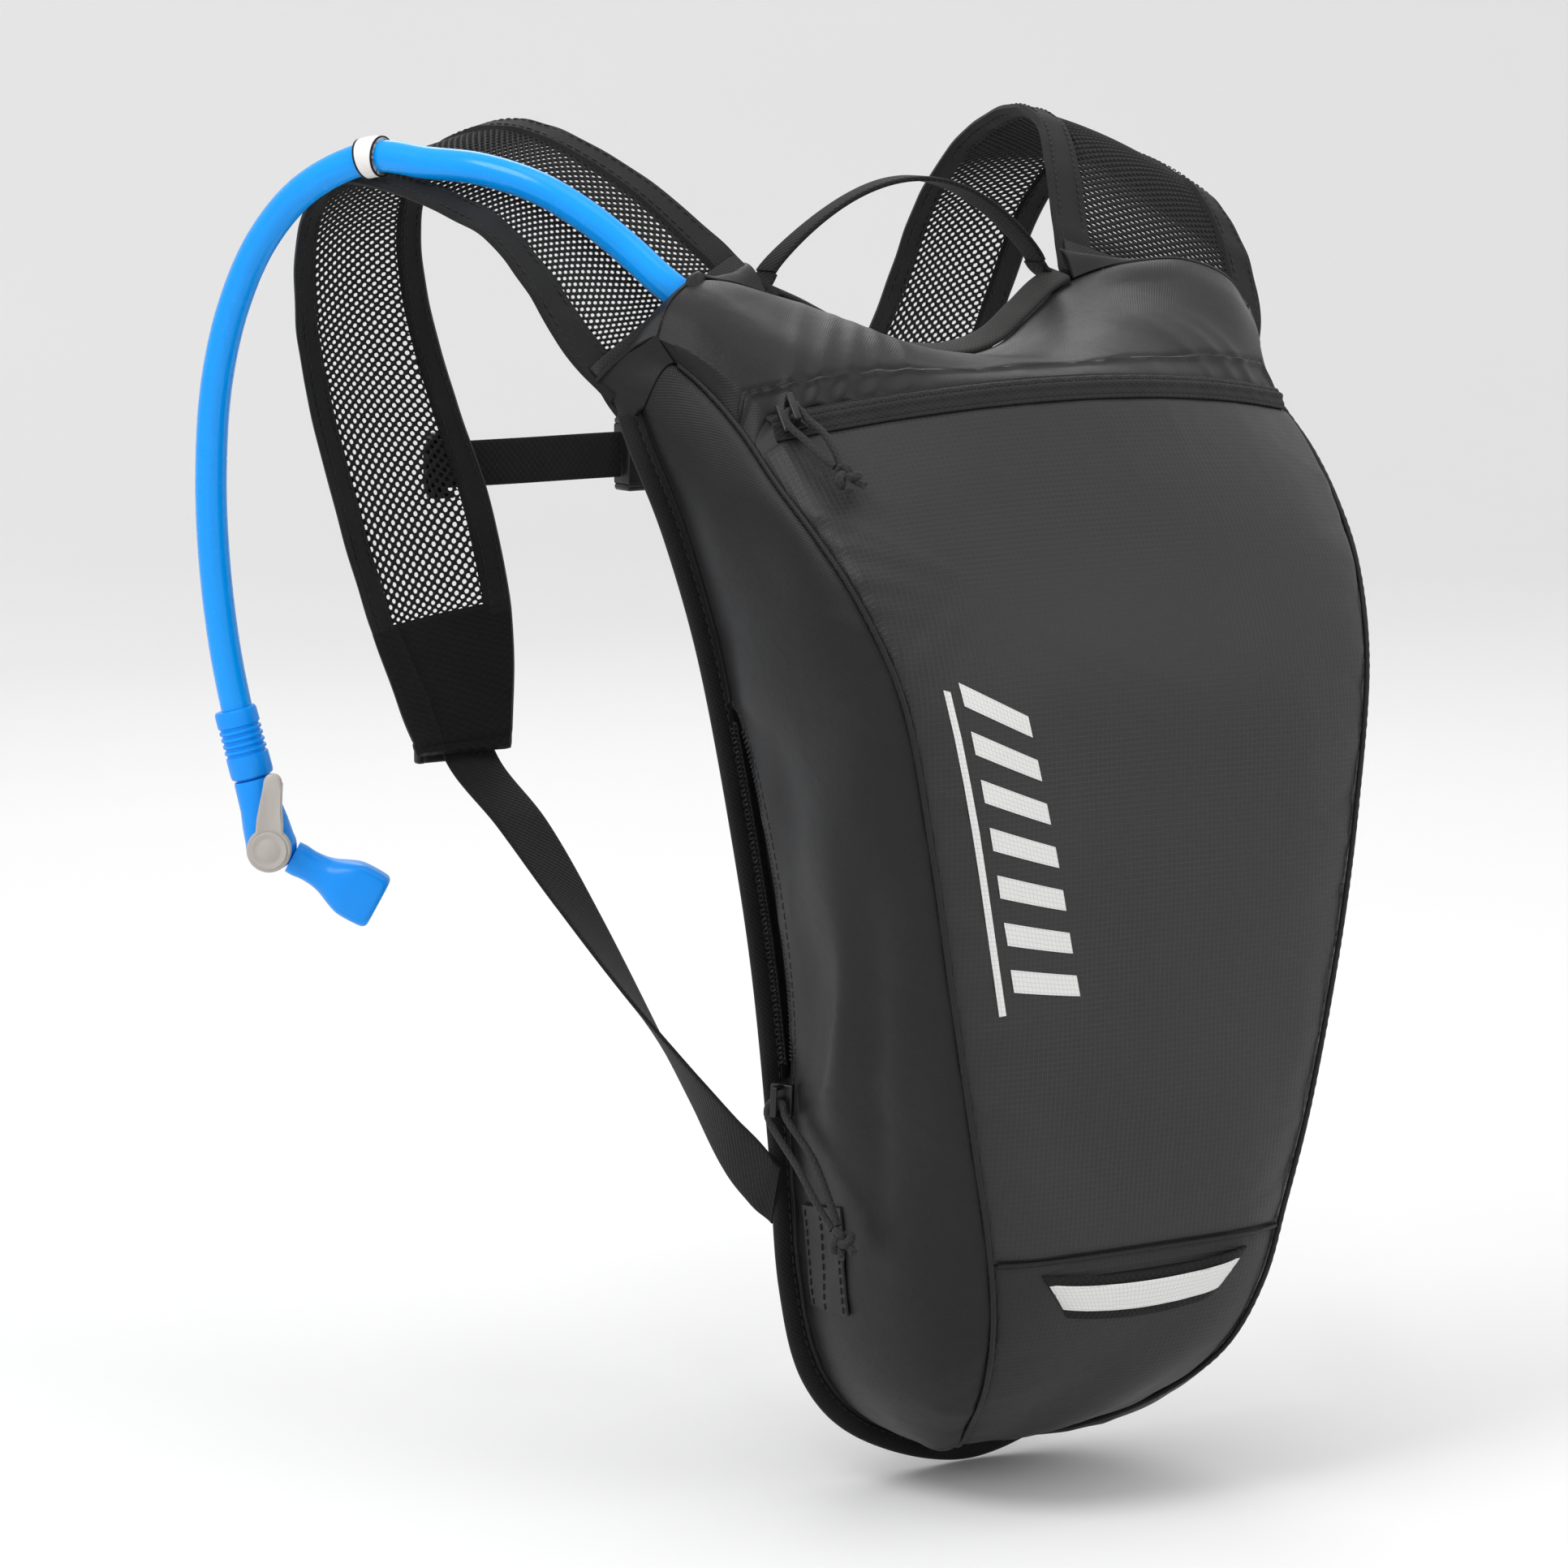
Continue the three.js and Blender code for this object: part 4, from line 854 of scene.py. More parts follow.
# piping where the gussets meet the front
for label, side in SIDES:
    s = np.linspace(0.015, 0.985, 260)
    path = mirror(seam_line.at(s), side)
    path[:, 1] -= 0.3
    seam_cord(f"{label}_front_seam", path, 0.9 + 0.08 * np.sin(s * 900))

# ------------------------------------------------------------------ front panels and yoke


FLANGE = 4


def to_seams(grid, s):
    """Columns added at both sides of a front grid, out to the gussets' seams at places s."""
    seam = seam_line.at(s[:, 0])[:, None]
    k = (np.arange(FLANGE) / FLANGE)[None, :, None]
    left = mix(mirror(seam, -1), grid[:, :1], k)
    right = mix(seam, grid[:, -1:], k)[:, ::-1]
    return np.concatenate([left, grid, right], 1)


def front_detail():
    v, u = spread((-0.006, 1), 200, (0, 1), 120)
    grid = front_surface(u, v)
    s = mix(SEAM_LOWER + 0.004, SEAM_ZIP, v[:, :1])
    grid = to_seams(grid, s)
    v = np.concatenate([v[:, :1]] * FLANGE + [v] + [v[:, :1]] * FLANGE, 1)
    n = normals_toward(grid, [0, -1, 0])
    left = apart(grid, grid[:, :1])
    right = apart(grid, grid[:, -1:])
    top = apart(grid, grid[-1:])
    low = apart(grid, grid[:1])
    edge = np.minimum(np.minimum(left, right), np.minimum(top, low))
    along = v * 245
    move = 1.0 * ripple(grid[..., 0], grid[..., 2], 3, 85) * smoothstep(edge, 3, 30)
    move += pucker(along, left, scattered(21, 5, 225, 10, 2.8, 12, 1.15, 0.5))
    move += pucker(along, right, scattered(22, 5, 225, 12, 2.8, 10, 0.9, 0.5))
    # folds fan down from the zip's left end
    for place, slant, height in ((222, -0.9, 1.3), (211, -0.6, 1.2), (200, -0.45, 1.0), (188, -0.3, 0.8)):
        move += pucker(along, left, [(place, 3.4, 26, height, slant)])
    move += pucker(grid[..., 0] + 100, top, scattered(23, 5, 195, 15, 4, 10, 0.5))
    move -= 1.0 * np.exp(-edge / 1.4)
    grid = grid + n * move[..., None]
    slab("front_panel_cloth", grid, -CLOTH * agrees(grid, n), 0.0, FRONT, "pack", ["front_panel"])
    return grid


def lower_detail():
    v, u = spread((0, 1.0125), 70, (0, 1), 90)
    grid = lower_front_surface(u, v)
    n = normals_toward(grid, [0, -1, 0])
    left = apart(grid, grid[:, :1])
    right = apart(grid, grid[:, -1:])
    top = apart(grid, grid[-1:])
    edge = np.minimum(np.minimum(left, right), top)
    move = 1.0 * ripple(grid[..., 0], grid[..., 2], 8, 50) * smoothstep(edge, 2, 20)
    move += pucker(v * 100, left, scattered(31, 12, 95, 11, 3, 10, 0.7, 0.4))
    move += pucker(v * 100, right, scattered(32, 12, 95, 11, 3, 10, 0.6, 0.4))
    # the cloth dips where the light loop is sewn over it
    loop = np.exp(-(((grid[..., 2] - 80) / 5) ** 2)) * smoothstep(38 - np.abs(grid[..., 0]), 0, 10)
    move -= 1.6 * loop
    move -= 1.0 * np.exp(-edge / 1.4)
    grid = grid + n * move[..., None]
    slab("lower_front_cloth", grid, -CLOTH * agrees(grid, n), 0.0, LOWER, "pack", ["lower_front_panel"])


def yoke_detail():
    v, u = spread((0, 1), 70, (0, 1), 220)
    grid = to_seams(yoke_surface(u, v), mix(SEAM_ZIP + 0.002, 0.995, v[:, :1]))
    n = normals_toward(grid, [0, 0, 1])
    low = apart(grid, grid[:1])
    high = apart(grid, grid[-1:])
    u = np.concatenate([u[:, :1]] * FLANGE + [u] + [u[:, -1:]] * FLANGE, 1)
    arc = u * 208
    move = 0.9 * ripple(grid[..., 0], grid[..., 1], 14, 45) * smoothstep(np.minimum(low, high), 2, 15)
    # diagonal folds gather at the left end of the zip, fewer at the right
    for place, slant, height in ((6, 0.9, 2.0), (15, 0.95, 1.9), (25, 0.9, 1.7), (36, 0.8, 1.4),
                                 (48, 0.7, 1.1)):
        move += pucker(arc, low, [(place, 2.8, 24, height, slant)])
    for place, slant, height in ((201, -0.8, 1.0), (190, -0.7, 0.8), (177, -0.6, 0.6)):
        move += pucker(arc, low, [(place, 3, 16, height, slant)])
    move += pucker(arc, low, scattered(41, 60, 170, 14, 3.5, 8, 0.4))
    # welt line: a sewn ridge parallel to the zip
    move += 0.9 * hill(low, 9, 0.9) - 0.6 * hill(low, 10.8, 0.8)
    move -= 0.8 * np.exp(-np.minimum(low, high) / 1.3)
    grid = grid + n * move[..., None]
    slab("yoke_cloth", grid, -CLOTH * agrees(grid, n), 0.0, YOKE, "pack", ["yoke"])


front_grid = front_detail()
lower_detail()
yoke_detail()

# horizontal seam between the front and lower panels
u = np.linspace(0.01, 0.99, 90)
seam_path = (front_surface(u, np.zeros_like(u)) + lower_front_surface(u, np.ones_like(u))) / 2
seam_path[:, 1] -= 0.2
seam_cord("lower_seam", seam_path, 0.7)

# ------------------------------------------------------------------ main zip

for label, sign, node in (("lower", 1, "front_zip_tape_lower"), ("upper", -1, "front_zip_tape_upper")):
    angle = np.linspace(-23.3, 23.3, 180)
    k = np.linspace(0.15, ZIP_BAND + 0.5, 14) * sign
    a, kk = np.meshgrid(angle, k, indexing="ij")
    grid = zip_point(a, kk)
    n = normals_toward(grid, [0, -1, 1])
    width = np.abs(kk)
    around = a * math.radians(1) * ZIP_RADIUS
    ribs = 0.16 * np.cos(2 * np.pi * around / 1.3) * hill(width, 2.2, 1.5)
    hump = 0.9 * hill(width, 1.1, 0.9) - 0.5 * hill(width, 4.7, 0.6)
    grid = grid + n * (ribs + hump)[..., None]
    same = agrees(grid, n)
    slab(f"front_zip_{label}_band", grid, -0.5 * same, 0.4 * same, ZIP_TAPE, "pack", [node])

# the tapes' ends run on to the gussets' seams, under the cloth
for label, side in SIDES:
    q, k = spread((0, 1), 14, (-1, 1), 12)
    near_end = zip_point(side * 22.8 + 0 * k, -k * (ZIP_BAND + 1.2))
    seam = mirror(seam_line.at(SEAM_ZIP + 0.002 + 0.016 * k), side)
    grid = mix(near_end, seam, q[..., None])
    grid[..., 1] += 0.9
    n = normals(grid)
    front_side = -np.sign(n[..., 1].mean())
    slab(f"front_zip_{label}_garage", grid, -1.0 * front_side, 0.0, YOKE, "pack")

# coil of the zip, between its two tapes
angle = np.linspace(-23.0, 23.0, 2400)
turn = np.radians(angle) * ZIP_RADIUS / 1.25 * 2 * np.pi
centre = zip_point(angle, 0.0)
out = rotated(np.broadcast_to([0, -0.75, 0.66], centre.shape), zip_axis, np.radians(angle))
below = rotated(np.broadcast_to([0, -0.6, -0.8], centre.shape), zip_axis, np.radians(angle))
coil = centre + out * (0.75 * np.sin(turn))[:, None] + below * (0.62 * np.cos(turn))[:, None]
finish_mesh("front_zip_coil", loft_parts(tube_rings(coil, 0.26, 5)), COIL, "pack")

# ------------------------------------------------------------------ back, edges and neck

EDGE_ARC_END, EDGE_TOP = 0.24, 0.985
back_top = symmetric([[0, 341], [20, 343.5], [36, 351], [50, 360], [57, 363], [92, 347], [116.5, 331]])


def back_surface(u, v, inset):
    side = np.where(u < 0.5, -1, 1)
    k = np.abs(2 * u - 1)
    bottom, top = edge_point(k * EDGE_ARC_END, inset), back_top.at(0.5 + k / 2)
    corner, shoulder = edge_point(EDGE_ARC_END, inset), edge_point(EDGE_TOP, inset)
    flank = edge_point(mix(EDGE_ARC_END, EDGE_TOP, v), inset)
    narrowed = top[..., 0] * (shoulder[0] / back_top.at(1.0)[0])
    x = mix(bottom[..., 0], narrowed, v) + k * (flank[..., 0] - mix(corner[0], shoulder[0], v))
    height = mix(bottom[..., 2], top[..., 1], v) + k * (flank[..., 2] - mix(corner[2], shoulder[2], v))
    return np.stack([side * x, np.zeros_like(x), height], -1)


v, u = spread((0, 1), 190, (0, 1), 151)
grid = back_surface(u, v, BINDING_WIDTH - 0.9)
x, h = grid[..., 0], grid[..., 2]
inside = np.minimum(np.minimum(u, 1 - u) * 150, np.minimum(v, 1 - v) * 320)
# two columns of quilted pads with channels between them
channel = 3.0 * np.exp(-((x / 9) ** 2))
for row in (95, 150, 205, 260):
    groove = 2.2 * np.exp(-(((h - row - 0.12 * np.abs(x)) / 5.5) ** 2))
    channel = np.maximum(channel, groove * smoothstep(78 - np.abs(x), 0, 12))
pad = smoothstep(inside, 3, 16) * 4.2 - channel * smoothstep(inside, 2, 14)
grid[..., 1] = lean(h) - 0.7 * (1 - smoothstep(inside, 0.5, 2.5)) + pad
grid[..., 1] += 0.25 * ripple(x, h, 4, 24) * smoothstep(inside, 2, 12)
thick = 2.3 if normals(grid)[..., 1].mean() < 0 else -2.3
back = slab("back_panel_mesh", grid, 0.0, thick, BACK_MESH, "pack", ["back_panel"])

# bound edge round both sides and the bottom
k = np.linspace(-1, 1, 420)
side = np.sign(k) + (k == 0)
rings = []
for value, sgn in zip(k, side):
    s = abs(value) * EDGE_TOP
    section = []
    for inset, depth in ((BINDING_WIDTH, 0.5), (BINDING_WIDTH - 0.6, 0.0), (3.4, -0.15), (1.0, 0.05),
                         (0.1, 0.8), (0.0, 1.5),
                         (0.1, 2.2), (1.0, 2.95), (3.4, 3.15), (5.2, 2.9), (BINDING_WIDTH, 2.5)):
        p = edge_point(s, inset)
        section.append([sgn * p[0], p[1] - depth, p[2]])
    rings.append(section)
finish_mesh("edge_binding_tape", loft_parts(np.array(rings)), TAPE, "pack", ["edge_binding"])
stitches = []
for depth, out in ((3.2, [0, -1, 0]), (-0.15, [0, 1, 0])):
    line = np.array([edge_point(abs(value) * EDGE_TOP, 5.0, sgn) for value, sgn in zip(k, side)])
    line[:, 1] -= depth
    stitches += stitch_parts(line, out, 2.2, 1.2, 0.24)

# tape over the neck edge
u = np.linspace(0.5 - 0.215, 0.5 + 0.215, 120)
path = yoke_top_point(u)
path[:, 2] += 2.1
path[:, 1] += 3.4
across = np.broadcast_to([0.0, 0.98, 0.2], path.shape)
section = rounded_section(11.5, 2.2, 24)
finish_mesh("neck_tape", loft_parts(strip_rings(path, across, section)), NECK_TAPE, "pack",
            ["neck_binding"])

# ------------------------------------------------------------------ shoulder straps

strap_inner = Spline([
    [58, 27.5, 366.5], [66, 41, 380], [78, 60, 397], [91, 82, 410], [97, 102, 414], [100.5, 127, 407.5],
    [101, 145, 395.5], [98, 156, 379], [91.5, 161.5, 355], [79, 165, 323], [67, 166, 294],
    [60, 164.5, 262], [59, 163, 240], [62, 160, 212],
])
strap_outer = Spline([
    [124, 12.5, 335.5], [133, 21.5, 349], [138, 34, 367], [141, 51.5, 382], [144.5, 78, 391],
    [147.5, 108, 396.5], [148, 132, 395], [145.5, 150, 378], [140, 160, 350], [133, 164, 325],
    [123, 165, 291], [112, 164, 256], [103, 162, 231], [95.5, 160, 212],
])
STRAP_BINDING, STRAP_TIP_FROM = 0.14, 0.865


def strap_point(t, w, side):
    t, w = np.broadcast_arrays(np.asarray(t, float), np.asarray(w, float))
    inner, outer = strap_inner.point(t), strap_outer.point(t)
    ahead = strap_inner.point(np.minimum(t + 0.01, 1)) - strap_inner.point(np.maximum(t - 0.01, 0))
    lift = unit(np.cross(ahead, outer - inner))
    p = mix(inner, outer, w[..., None]) - lift * (3 * 4 * w * (1 - w))[..., None]
    return mirror(p, side)


def strap_normal(t, w, side):
    """Away from the wearer."""
    t, w = np.broadcast_arrays(np.asarray(t, float), np.asarray(w, float))
    a = strap_point(np.minimum(t + 0.004, 1), w, 1) - strap_point(np.maximum(t - 0.004, 0), w, 1)
    b = strap_point(t, np.minimum(w + 0.02, 1), 1) - strap_point(t, np.maximum(w - 0.02, 0), 1)
    return mirror(-unit(np.cross(a, b)), side)


MESH_PITCH = 3.7
MESH_HOLE = 0.27  # a hole's half width as a share of the pitch
STRAP_LENGTH, STRAP_WIDTH = 480.0, 40.0


def honeycomb(label, side):
    """Open strap mesh: staggered cells, each a diamond of yarn round a hole."""
    step = MESH_PITCH / 2
    cells = []
    angle = np.linspace(0, 2 * np.pi, 9)[:-1]
    reach = np.array([0.5, 0.25 * math.sqrt(2)] * 4)  # to the diamond's corners and the middles of its sides
    across, along = np.cos(angle), np.sin(angle)
    for row in range(int(STRAP_LENGTH * (STRAP_TIP_FROM - 0.004) / step)):
        t = 0.004 + (row + 0.5) * step / STRAP_LENGTH
        wide = float(np.linalg.norm(strap_outer.point(t) - strap_inner.point(t)))
        half = int(wide * 0.36 / MESH_PITCH) + 1
        for j in range(-half, half + 1):
            w = 0.5 + (j + 0.5 * (row % 2)) * MESH_PITCH / wide
            if not STRAP_BINDING < w < 1 - STRAP_BINDING:
                continue
            size = np.concatenate([reach, np.full(8, MESH_HOLE)]) * MESH_PITCH
            cells.append(np.stack([t + np.tile(along, 2) * size / STRAP_LENGTH,
                                   w + np.tile(across, 2) * size / wide], -1))
    count = len(cells)
    places = np.concatenate(cells)
    t, w = np.clip(places[:, 0], 0.0, STRAP_TIP_FROM + 0.004), np.clip(places[:, 1], 0.02, 0.98)
    base, n = strap_point(t, w, side), strap_normal(t, w, side)
    thick = np.tile(np.repeat([0.5, 0.36], 8), count)[:, None]
    total = len(places)
    k = np.arange(8)
    nxt = (k + 1) % 8
    front = np.stack([k, nxt, 8 + nxt, 8 + k], -1)
    wall = np.stack([8 + k, 8 + nxt, total + 8 + nxt, total + 8 + k], -1)
    one = np.concatenate([front, wall, front[:, ::-1] + total])
    faces = (one[None] + (np.arange(count) * 16)[:, None, None]).reshape(-1, 4)
    if side < 0:
        faces = faces[:, ::-1]
    uv = np.concatenate([np.stack([w * STRAP_WIDTH, t * STRAP_LENGTH], -1)] * 2)
    both_sides = np.concatenate([base + n * thick, base - n * thick])
    obj = finish_mesh(f"{label}_strap_openwork", (both_sides, faces, uv), MESH, "pack",
                      [f"{label}_strap_mesh"],
                      sharp=0)
    work = bmesh.new()
    work.from_mesh(obj.data)
    bmesh.ops.remove_doubles(work, verts=work.verts, dist=0.00012)
    work.to_mesh(obj.data)
    work.free()


def strap_band(name, side, t0, t1, w0, w1, thick, material, nodes, columns=10, extra=None,
               sections=160):
    t, w = spread((t0, t1), sections, (w0, w1), columns)
    grid = strap_point(t, w, side)
    n = strap_normal(t, w, side)
    if extra is not None:
        grid = grid + n * extra(t, w)[..., None]
    half = thick / 2 * agrees(grid, n)
    return slab(name, grid, -half, half, material, "pack", nodes)


def binding_waves(t, w):
    return 0.25 * ripple(t * STRAP_LENGTH, w * STRAP_WIDTH, 61, 26)


def tip_shape(t, w):
    """Relief of a strap's tip: a lengthwise fold, the hem at its end and shallow waves."""
    k = (t - STRAP_TIP_FROM) / (1 - STRAP_TIP_FROM)
    fold = 0.8 * np.exp(-(((w - 0.82 + 0.15 * k) / 0.03) ** 2))
    hem = 0.7 * smoothstep(k, 0.9, 0.93)
    return fold + hem + 0.4 * ripple(t * STRAP_LENGTH, w * STRAP_WIDTH, 71, 30)


for label, side in SIDES:
    honeycomb(label, side)
    for part, w0, w1 in (("inner", 0.0, STRAP_BINDING), ("outer", 1 - STRAP_BINDING, 1.0)):
        strap_band(f"{label}_strap_{part}_edge", side, 0.0, STRAP_TIP_FROM + 0.004, w0, w1, 2.9, BINDING,
                   [f"{label}_strap_{part}_binding"], extra=binding_waves)
        for w_line in (w0 + 0.022, w1 - 0.022):
            t = np.linspace(0.03, STRAP_TIP_FROM, 200)
            for sign in (1, -1):
                n = strap_normal(t, np.full_like(t, w_line), side) * sign
                stitches += stitch_parts(strap_point(t, w_line, side) + n * 1.5, n, 2.0, 1.2, 0.22)

    strap_band(f"{label}_strap_end", side, STRAP_TIP_FROM - 0.004, 1.0, 0.0, 1.0, 3.3, TIP,
               [f"{label}_strap_tip"],
               40, tip_shape, 60)
    strap_band(f"{label}_root_band", side, 0.028, 0.028 + 8 / STRAP_LENGTH, 0.02, 0.98, 0.9, NECK_TAPE,
               [f"{label}_root_tape"],
               30, lambda t, w: 2.2 + 0 * t, 8)

# cloth that joins the yoke's top to each strap's root; the left one opens over the drink tube
for label, side in SIDES:
    k, q = spread((0, 1), 90, (0, 1), 24)
    u = 0.006 + 0.264 * k
    start = yoke_top_point(u if side < 0 else 1 - u)
    w = 1 - k
    lift = 1.9 + (13.2 * hill(w, 0.49, 0.12) if side < 0 else 0 * w)
    end = strap_point(0.031 + 0 * w, w, side) + strap_normal(0.031 + 0 * w, w, side) * lift[..., None]
    grid = mix(start, end, q[..., None])
    grid[..., 2] += 2.2 * np.sin(np.pi * q) + 0.5 * ripple(grid[..., 0], grid[..., 1], 15,
                                                           20) * np.sin(np.pi * q)
    n = normals(grid)
    up_side = np.sign(n[..., 2].mean())
    slab(f"{label}_root_cover", grid, -1.1 * up_side, 0.0, YOKE, "pack")

# cloth that closes each root: behind, to the back panel, and outside, to the gusset
for label, side in SIDES:
    k, q = spread((0, 1), 60, (0, 1), 10)
    reach = 0.5 + 0.5 * np.linspace(0.47, 1.0, 60)
    low = back_surface(1 - reach if side < 0 else reach, np.full(60, 0.99), BINDING_WIDTH - 4)
    low[:, 1] = lean(low[:, 2]) - 0.5
    high = strap_point(0.022, mix(0.02, 0.99, k[:, 0]), side)
    grid = mix(low[:, None], high[:, None], q[..., None])
    grid[..., 1] += 1.2 * np.sin(np.pi * q)
    slab(f"{label}_root_back", grid, -1.2, 1.2, BINDING, "pack")
    row = gusset_surface(0.988, mix(0.99, 0.0, k[:, 0]), side)
    outer = Spline([yoke_top_point(0.004 if side < 0 else 0.996), strap_point(0.031, 0.985, side),
                    strap_point(0.004, 0.985, side),
                    edge_point(0.975, 1.5, side) - [0, 1.5, 0]]).at(k[:, 0])
    grid = mix(row[:, None], outer[:, None], q[..., None])
    slab(f"{label}_root_side", grid, -0.6, 0.6, YOKE, "pack")

# ------------------------------------------------------------------ haul loop

u = np.linspace(0, 1, 90)
rise = np.sin(np.pi * u) ** 0.85
path = np.stack([mix(-52, 52, u), 33 - 4 * rise, 370 + 27 * rise], -1)
across = np.broadcast_to([0.0, 1.0, 0.0],
                         path.shape) + np.stack([0.25 * np.sin(2 * np.pi * u), 0 * u, 0 * u], -1)
finish_mesh("haul_loop_webbing", loft_parts(strip_rings(path, across, rounded_section(9.8, 1.7, 20))), WEB,
            "haul_loop", ["haul_loop"])

for label, side in SIDES:
    tab = Spline([[51.6, 33, 369.4], [53.4, 32.6, 367], [56, 31.6, 364.8], [60, 30, 362.6], [64, 28, 361]])
    path = mirror(tab.at(np.linspace(0, 1, 30)), side)
    across = np.broadcast_to([0.0, 1.0, 0.0], path.shape)
    tab = finish_mesh(f"{label}_haul_tab",
                      loft_parts(strip_rings(path, across, rounded_section(9.8, 1.9, 20))), WEB, None)
    tuple(metres([side * 57.0, 31.3, 364.0]))
    tuple(metres([side * 52.0, 32.9, 369.0]))
    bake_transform(tab)

# ------------------------------------------------------------------ drink tube

TUBE_RADIUS = 5.0
TUBE_LIFT = 1.2 + TUBE_RADIUS + 0.9


def on_strap(t, w, lift):
    return (strap_point(t, w, -1) + strap_normal(t, w, -1) * lift).tolist()


tube_end = np.array([-157.8, 163, 213])
valve_down = unit([0.2, -0.147, -0.969])
tube_route = [
    [-18, -52, 72], [-18, -52, 92], [-24, -52, 122], [-36, -52, 158], [-46, -52, 200],
    [-50, -51, 244], [-53, -48, 278], [-60, -39, 305], [-71, -23, 327], [-83, -4, 344],
    on_strap(0.028, 0.48, TUBE_LIFT + 1.3), on_strap(0.07, 0.5, TUBE_LIFT + 1),
    on_strap(0.115, 0.52, TUBE_LIFT),
    on_strap(0.16, 0.57, TUBE_LIFT), on_strap(0.21, 0.64, TUBE_LIFT), on_strap(0.265, 0.73, TUBE_LIFT),
    on_strap(0.32, 0.83, TUBE_LIFT), on_strap(0.372, 0.95, TUBE_LIFT + 1.3), [-158.5, 124, 395.5],
    [-163.8, 142, 379], [-167.3, 154.5, 357], [-169.2, 162, 332], [-169, 166, 303],
    [-167.4, 167, 276.5], [-164.4, 166.5, 250.4], [-160.8, 165, 229.4], tube_end.tolist(),
]
tube_curve = Spline(tube_route, 1200)
tube_path = tube_curve.at(np.linspace(0, 1, 420))
drink_tube = finish_mesh("drink_tube_hose", loft_parts(tube_rings(tube_path, TUBE_RADIUS - 0.05, 24)), HOSE,
                         "pack", ["drink_tube"])

keeper_middle = np.array(tube_route[17])
near = int(np.argmin(np.linalg.norm(tube_path - keeper_middle, axis=1)))
span = tube_path[near - 3 : near + 4]
offsets = np.linspace(0, 1, 29)
keeper_path = Spline(span).at(np.linspace(0.0, 1.0, 29))
keeper_path = keeper_middle + (keeper_path
                               - keeper_path[14]) * (7.0 / np.linalg.norm(keeper_path[-1] - keeper_path[0]))
bulge = 5.75 + 0.5 * (1 - np.abs(2 * offsets - 1) ** 8) + 0.07 * np.cos(offsets * 2 * np.pi * 9)
finish_mesh("tube_keeper_band", loft_parts(tube_rings(keeper_path, bulge, 40)), KEEPER, "pack",
            ["tube_keeper"])
for number, place in enumerate((0.03, 0.97)):
    spot = int(place * 28)
    finish_mesh(f"keeper_edge_{number}",
                loft_parts(tube_rings(keeper_path[max(spot - 1, 0) : spot + 3], 6.3, 40)), TAPE, "pack")

# ------------------------------------------------------------------ bite valve

VALVE_TURN = math.radians(36)  # how far the valve's face is turned from the front
facing = np.array([-math.sin(VALVE_TURN), -math.cos(VALVE_TURN), 0])
level = np.array([math.cos(VALVE_TURN), -math.sin(VALVE_TURN), 0])
cuff_profile = [[5.3, -18.2], [6.3, -18.0], [6.7, -17.2], [6.75, -14.0]]
for number in range(5):
    at = -13.0 + number * 2.1
    cuff_profile += [[6.75, at], [6.15, at + 0.45], [6.15, at + 0.95], [6.75, at + 1.4]]
cuff_profile += [[6.8, -1.5], [6.8, 2.6], [6.6, 3.6], [6.0, 4.0], [5.3, 3.9]]
cuff = finish_mesh("valve_cuff_grip", lathe_parts(cuff_profile, tube_end, valve_down, 48), BITE, "pack",
                   ["valve_cuff"], sharp=38)

hub = tube_end + 26.5 * valve_down
body_profile = [[4.6, 0.6], [4.7, 4.4], [6.1, 4.7], [6.35, 5.4], [6.6, 14], [7.3, 19]]
body_profile += [[8 * math.cos(a), 26.5 + 8 * math.sin(a)] for a in np.radians(np.linspace(-15, 90, 14))]
valve_body = finish_mesh("valve_elbow", lathe_parts(body_profile, tube_end, valve_down, 48), BITE,
                         "bite_valve", ["valve_body"], sharp=40)

tilt = math.radians(28.6)
bite_axis = level * math.cos(tilt) + np.array([0, 0, -math.sin(tilt)])
bite_up = np.cross(bite_axis, facing)
profile = [[5.2, 7.5], [5.3, 10.0], [5.0, 13.0], [5.2, 16.5], [6.0, 20.0], [7.6, 24.0], [8.8, 27.5],
           [9.1, 31.0],
           [9.0, 35.5], [8.6, 37.3], [7.6, 38.1], [6.6, 38.0], [6.0, 37.2]]
curve = Spline(profile).at(np.linspace(0, 1, 60))
angle = circle(56)
rings = []
for r, d in curve:
    flat = smoothstep(d, 20, 30) * 0.18
    power = 2 + 1.6 * smoothstep(d, 18, 28)
    c, s_ = np.cos(angle), np.sin(angle)
    high = np.sign(c) * np.abs(c) ** (2 / power) * r
    deep = np.sign(s_) * np.abs(s_) ** (2 / power) * r * (1 - flat)
    rings.append(hub + bite_axis * d + bite_up * high[:, None] + facing * deep[:, None])
bite = finish_mesh("bite_sleeve", loft_parts(np.array(rings)), BITE, "bite_valve", ["bite_valve"],
                   sharp=35)
slit_path = [hub + bite_axis * 37.35 + bite_up * k for k in np.linspace(-5.5, 5.5, 12)]
SLIT = plastic("slit_shadow", (0.0, 0.05, 0.2), 0.6)
finish_mesh("bite_slit", loft_parts(tube_rings(slit_path, 0.35, 8)), SLIT, "bite_valve")


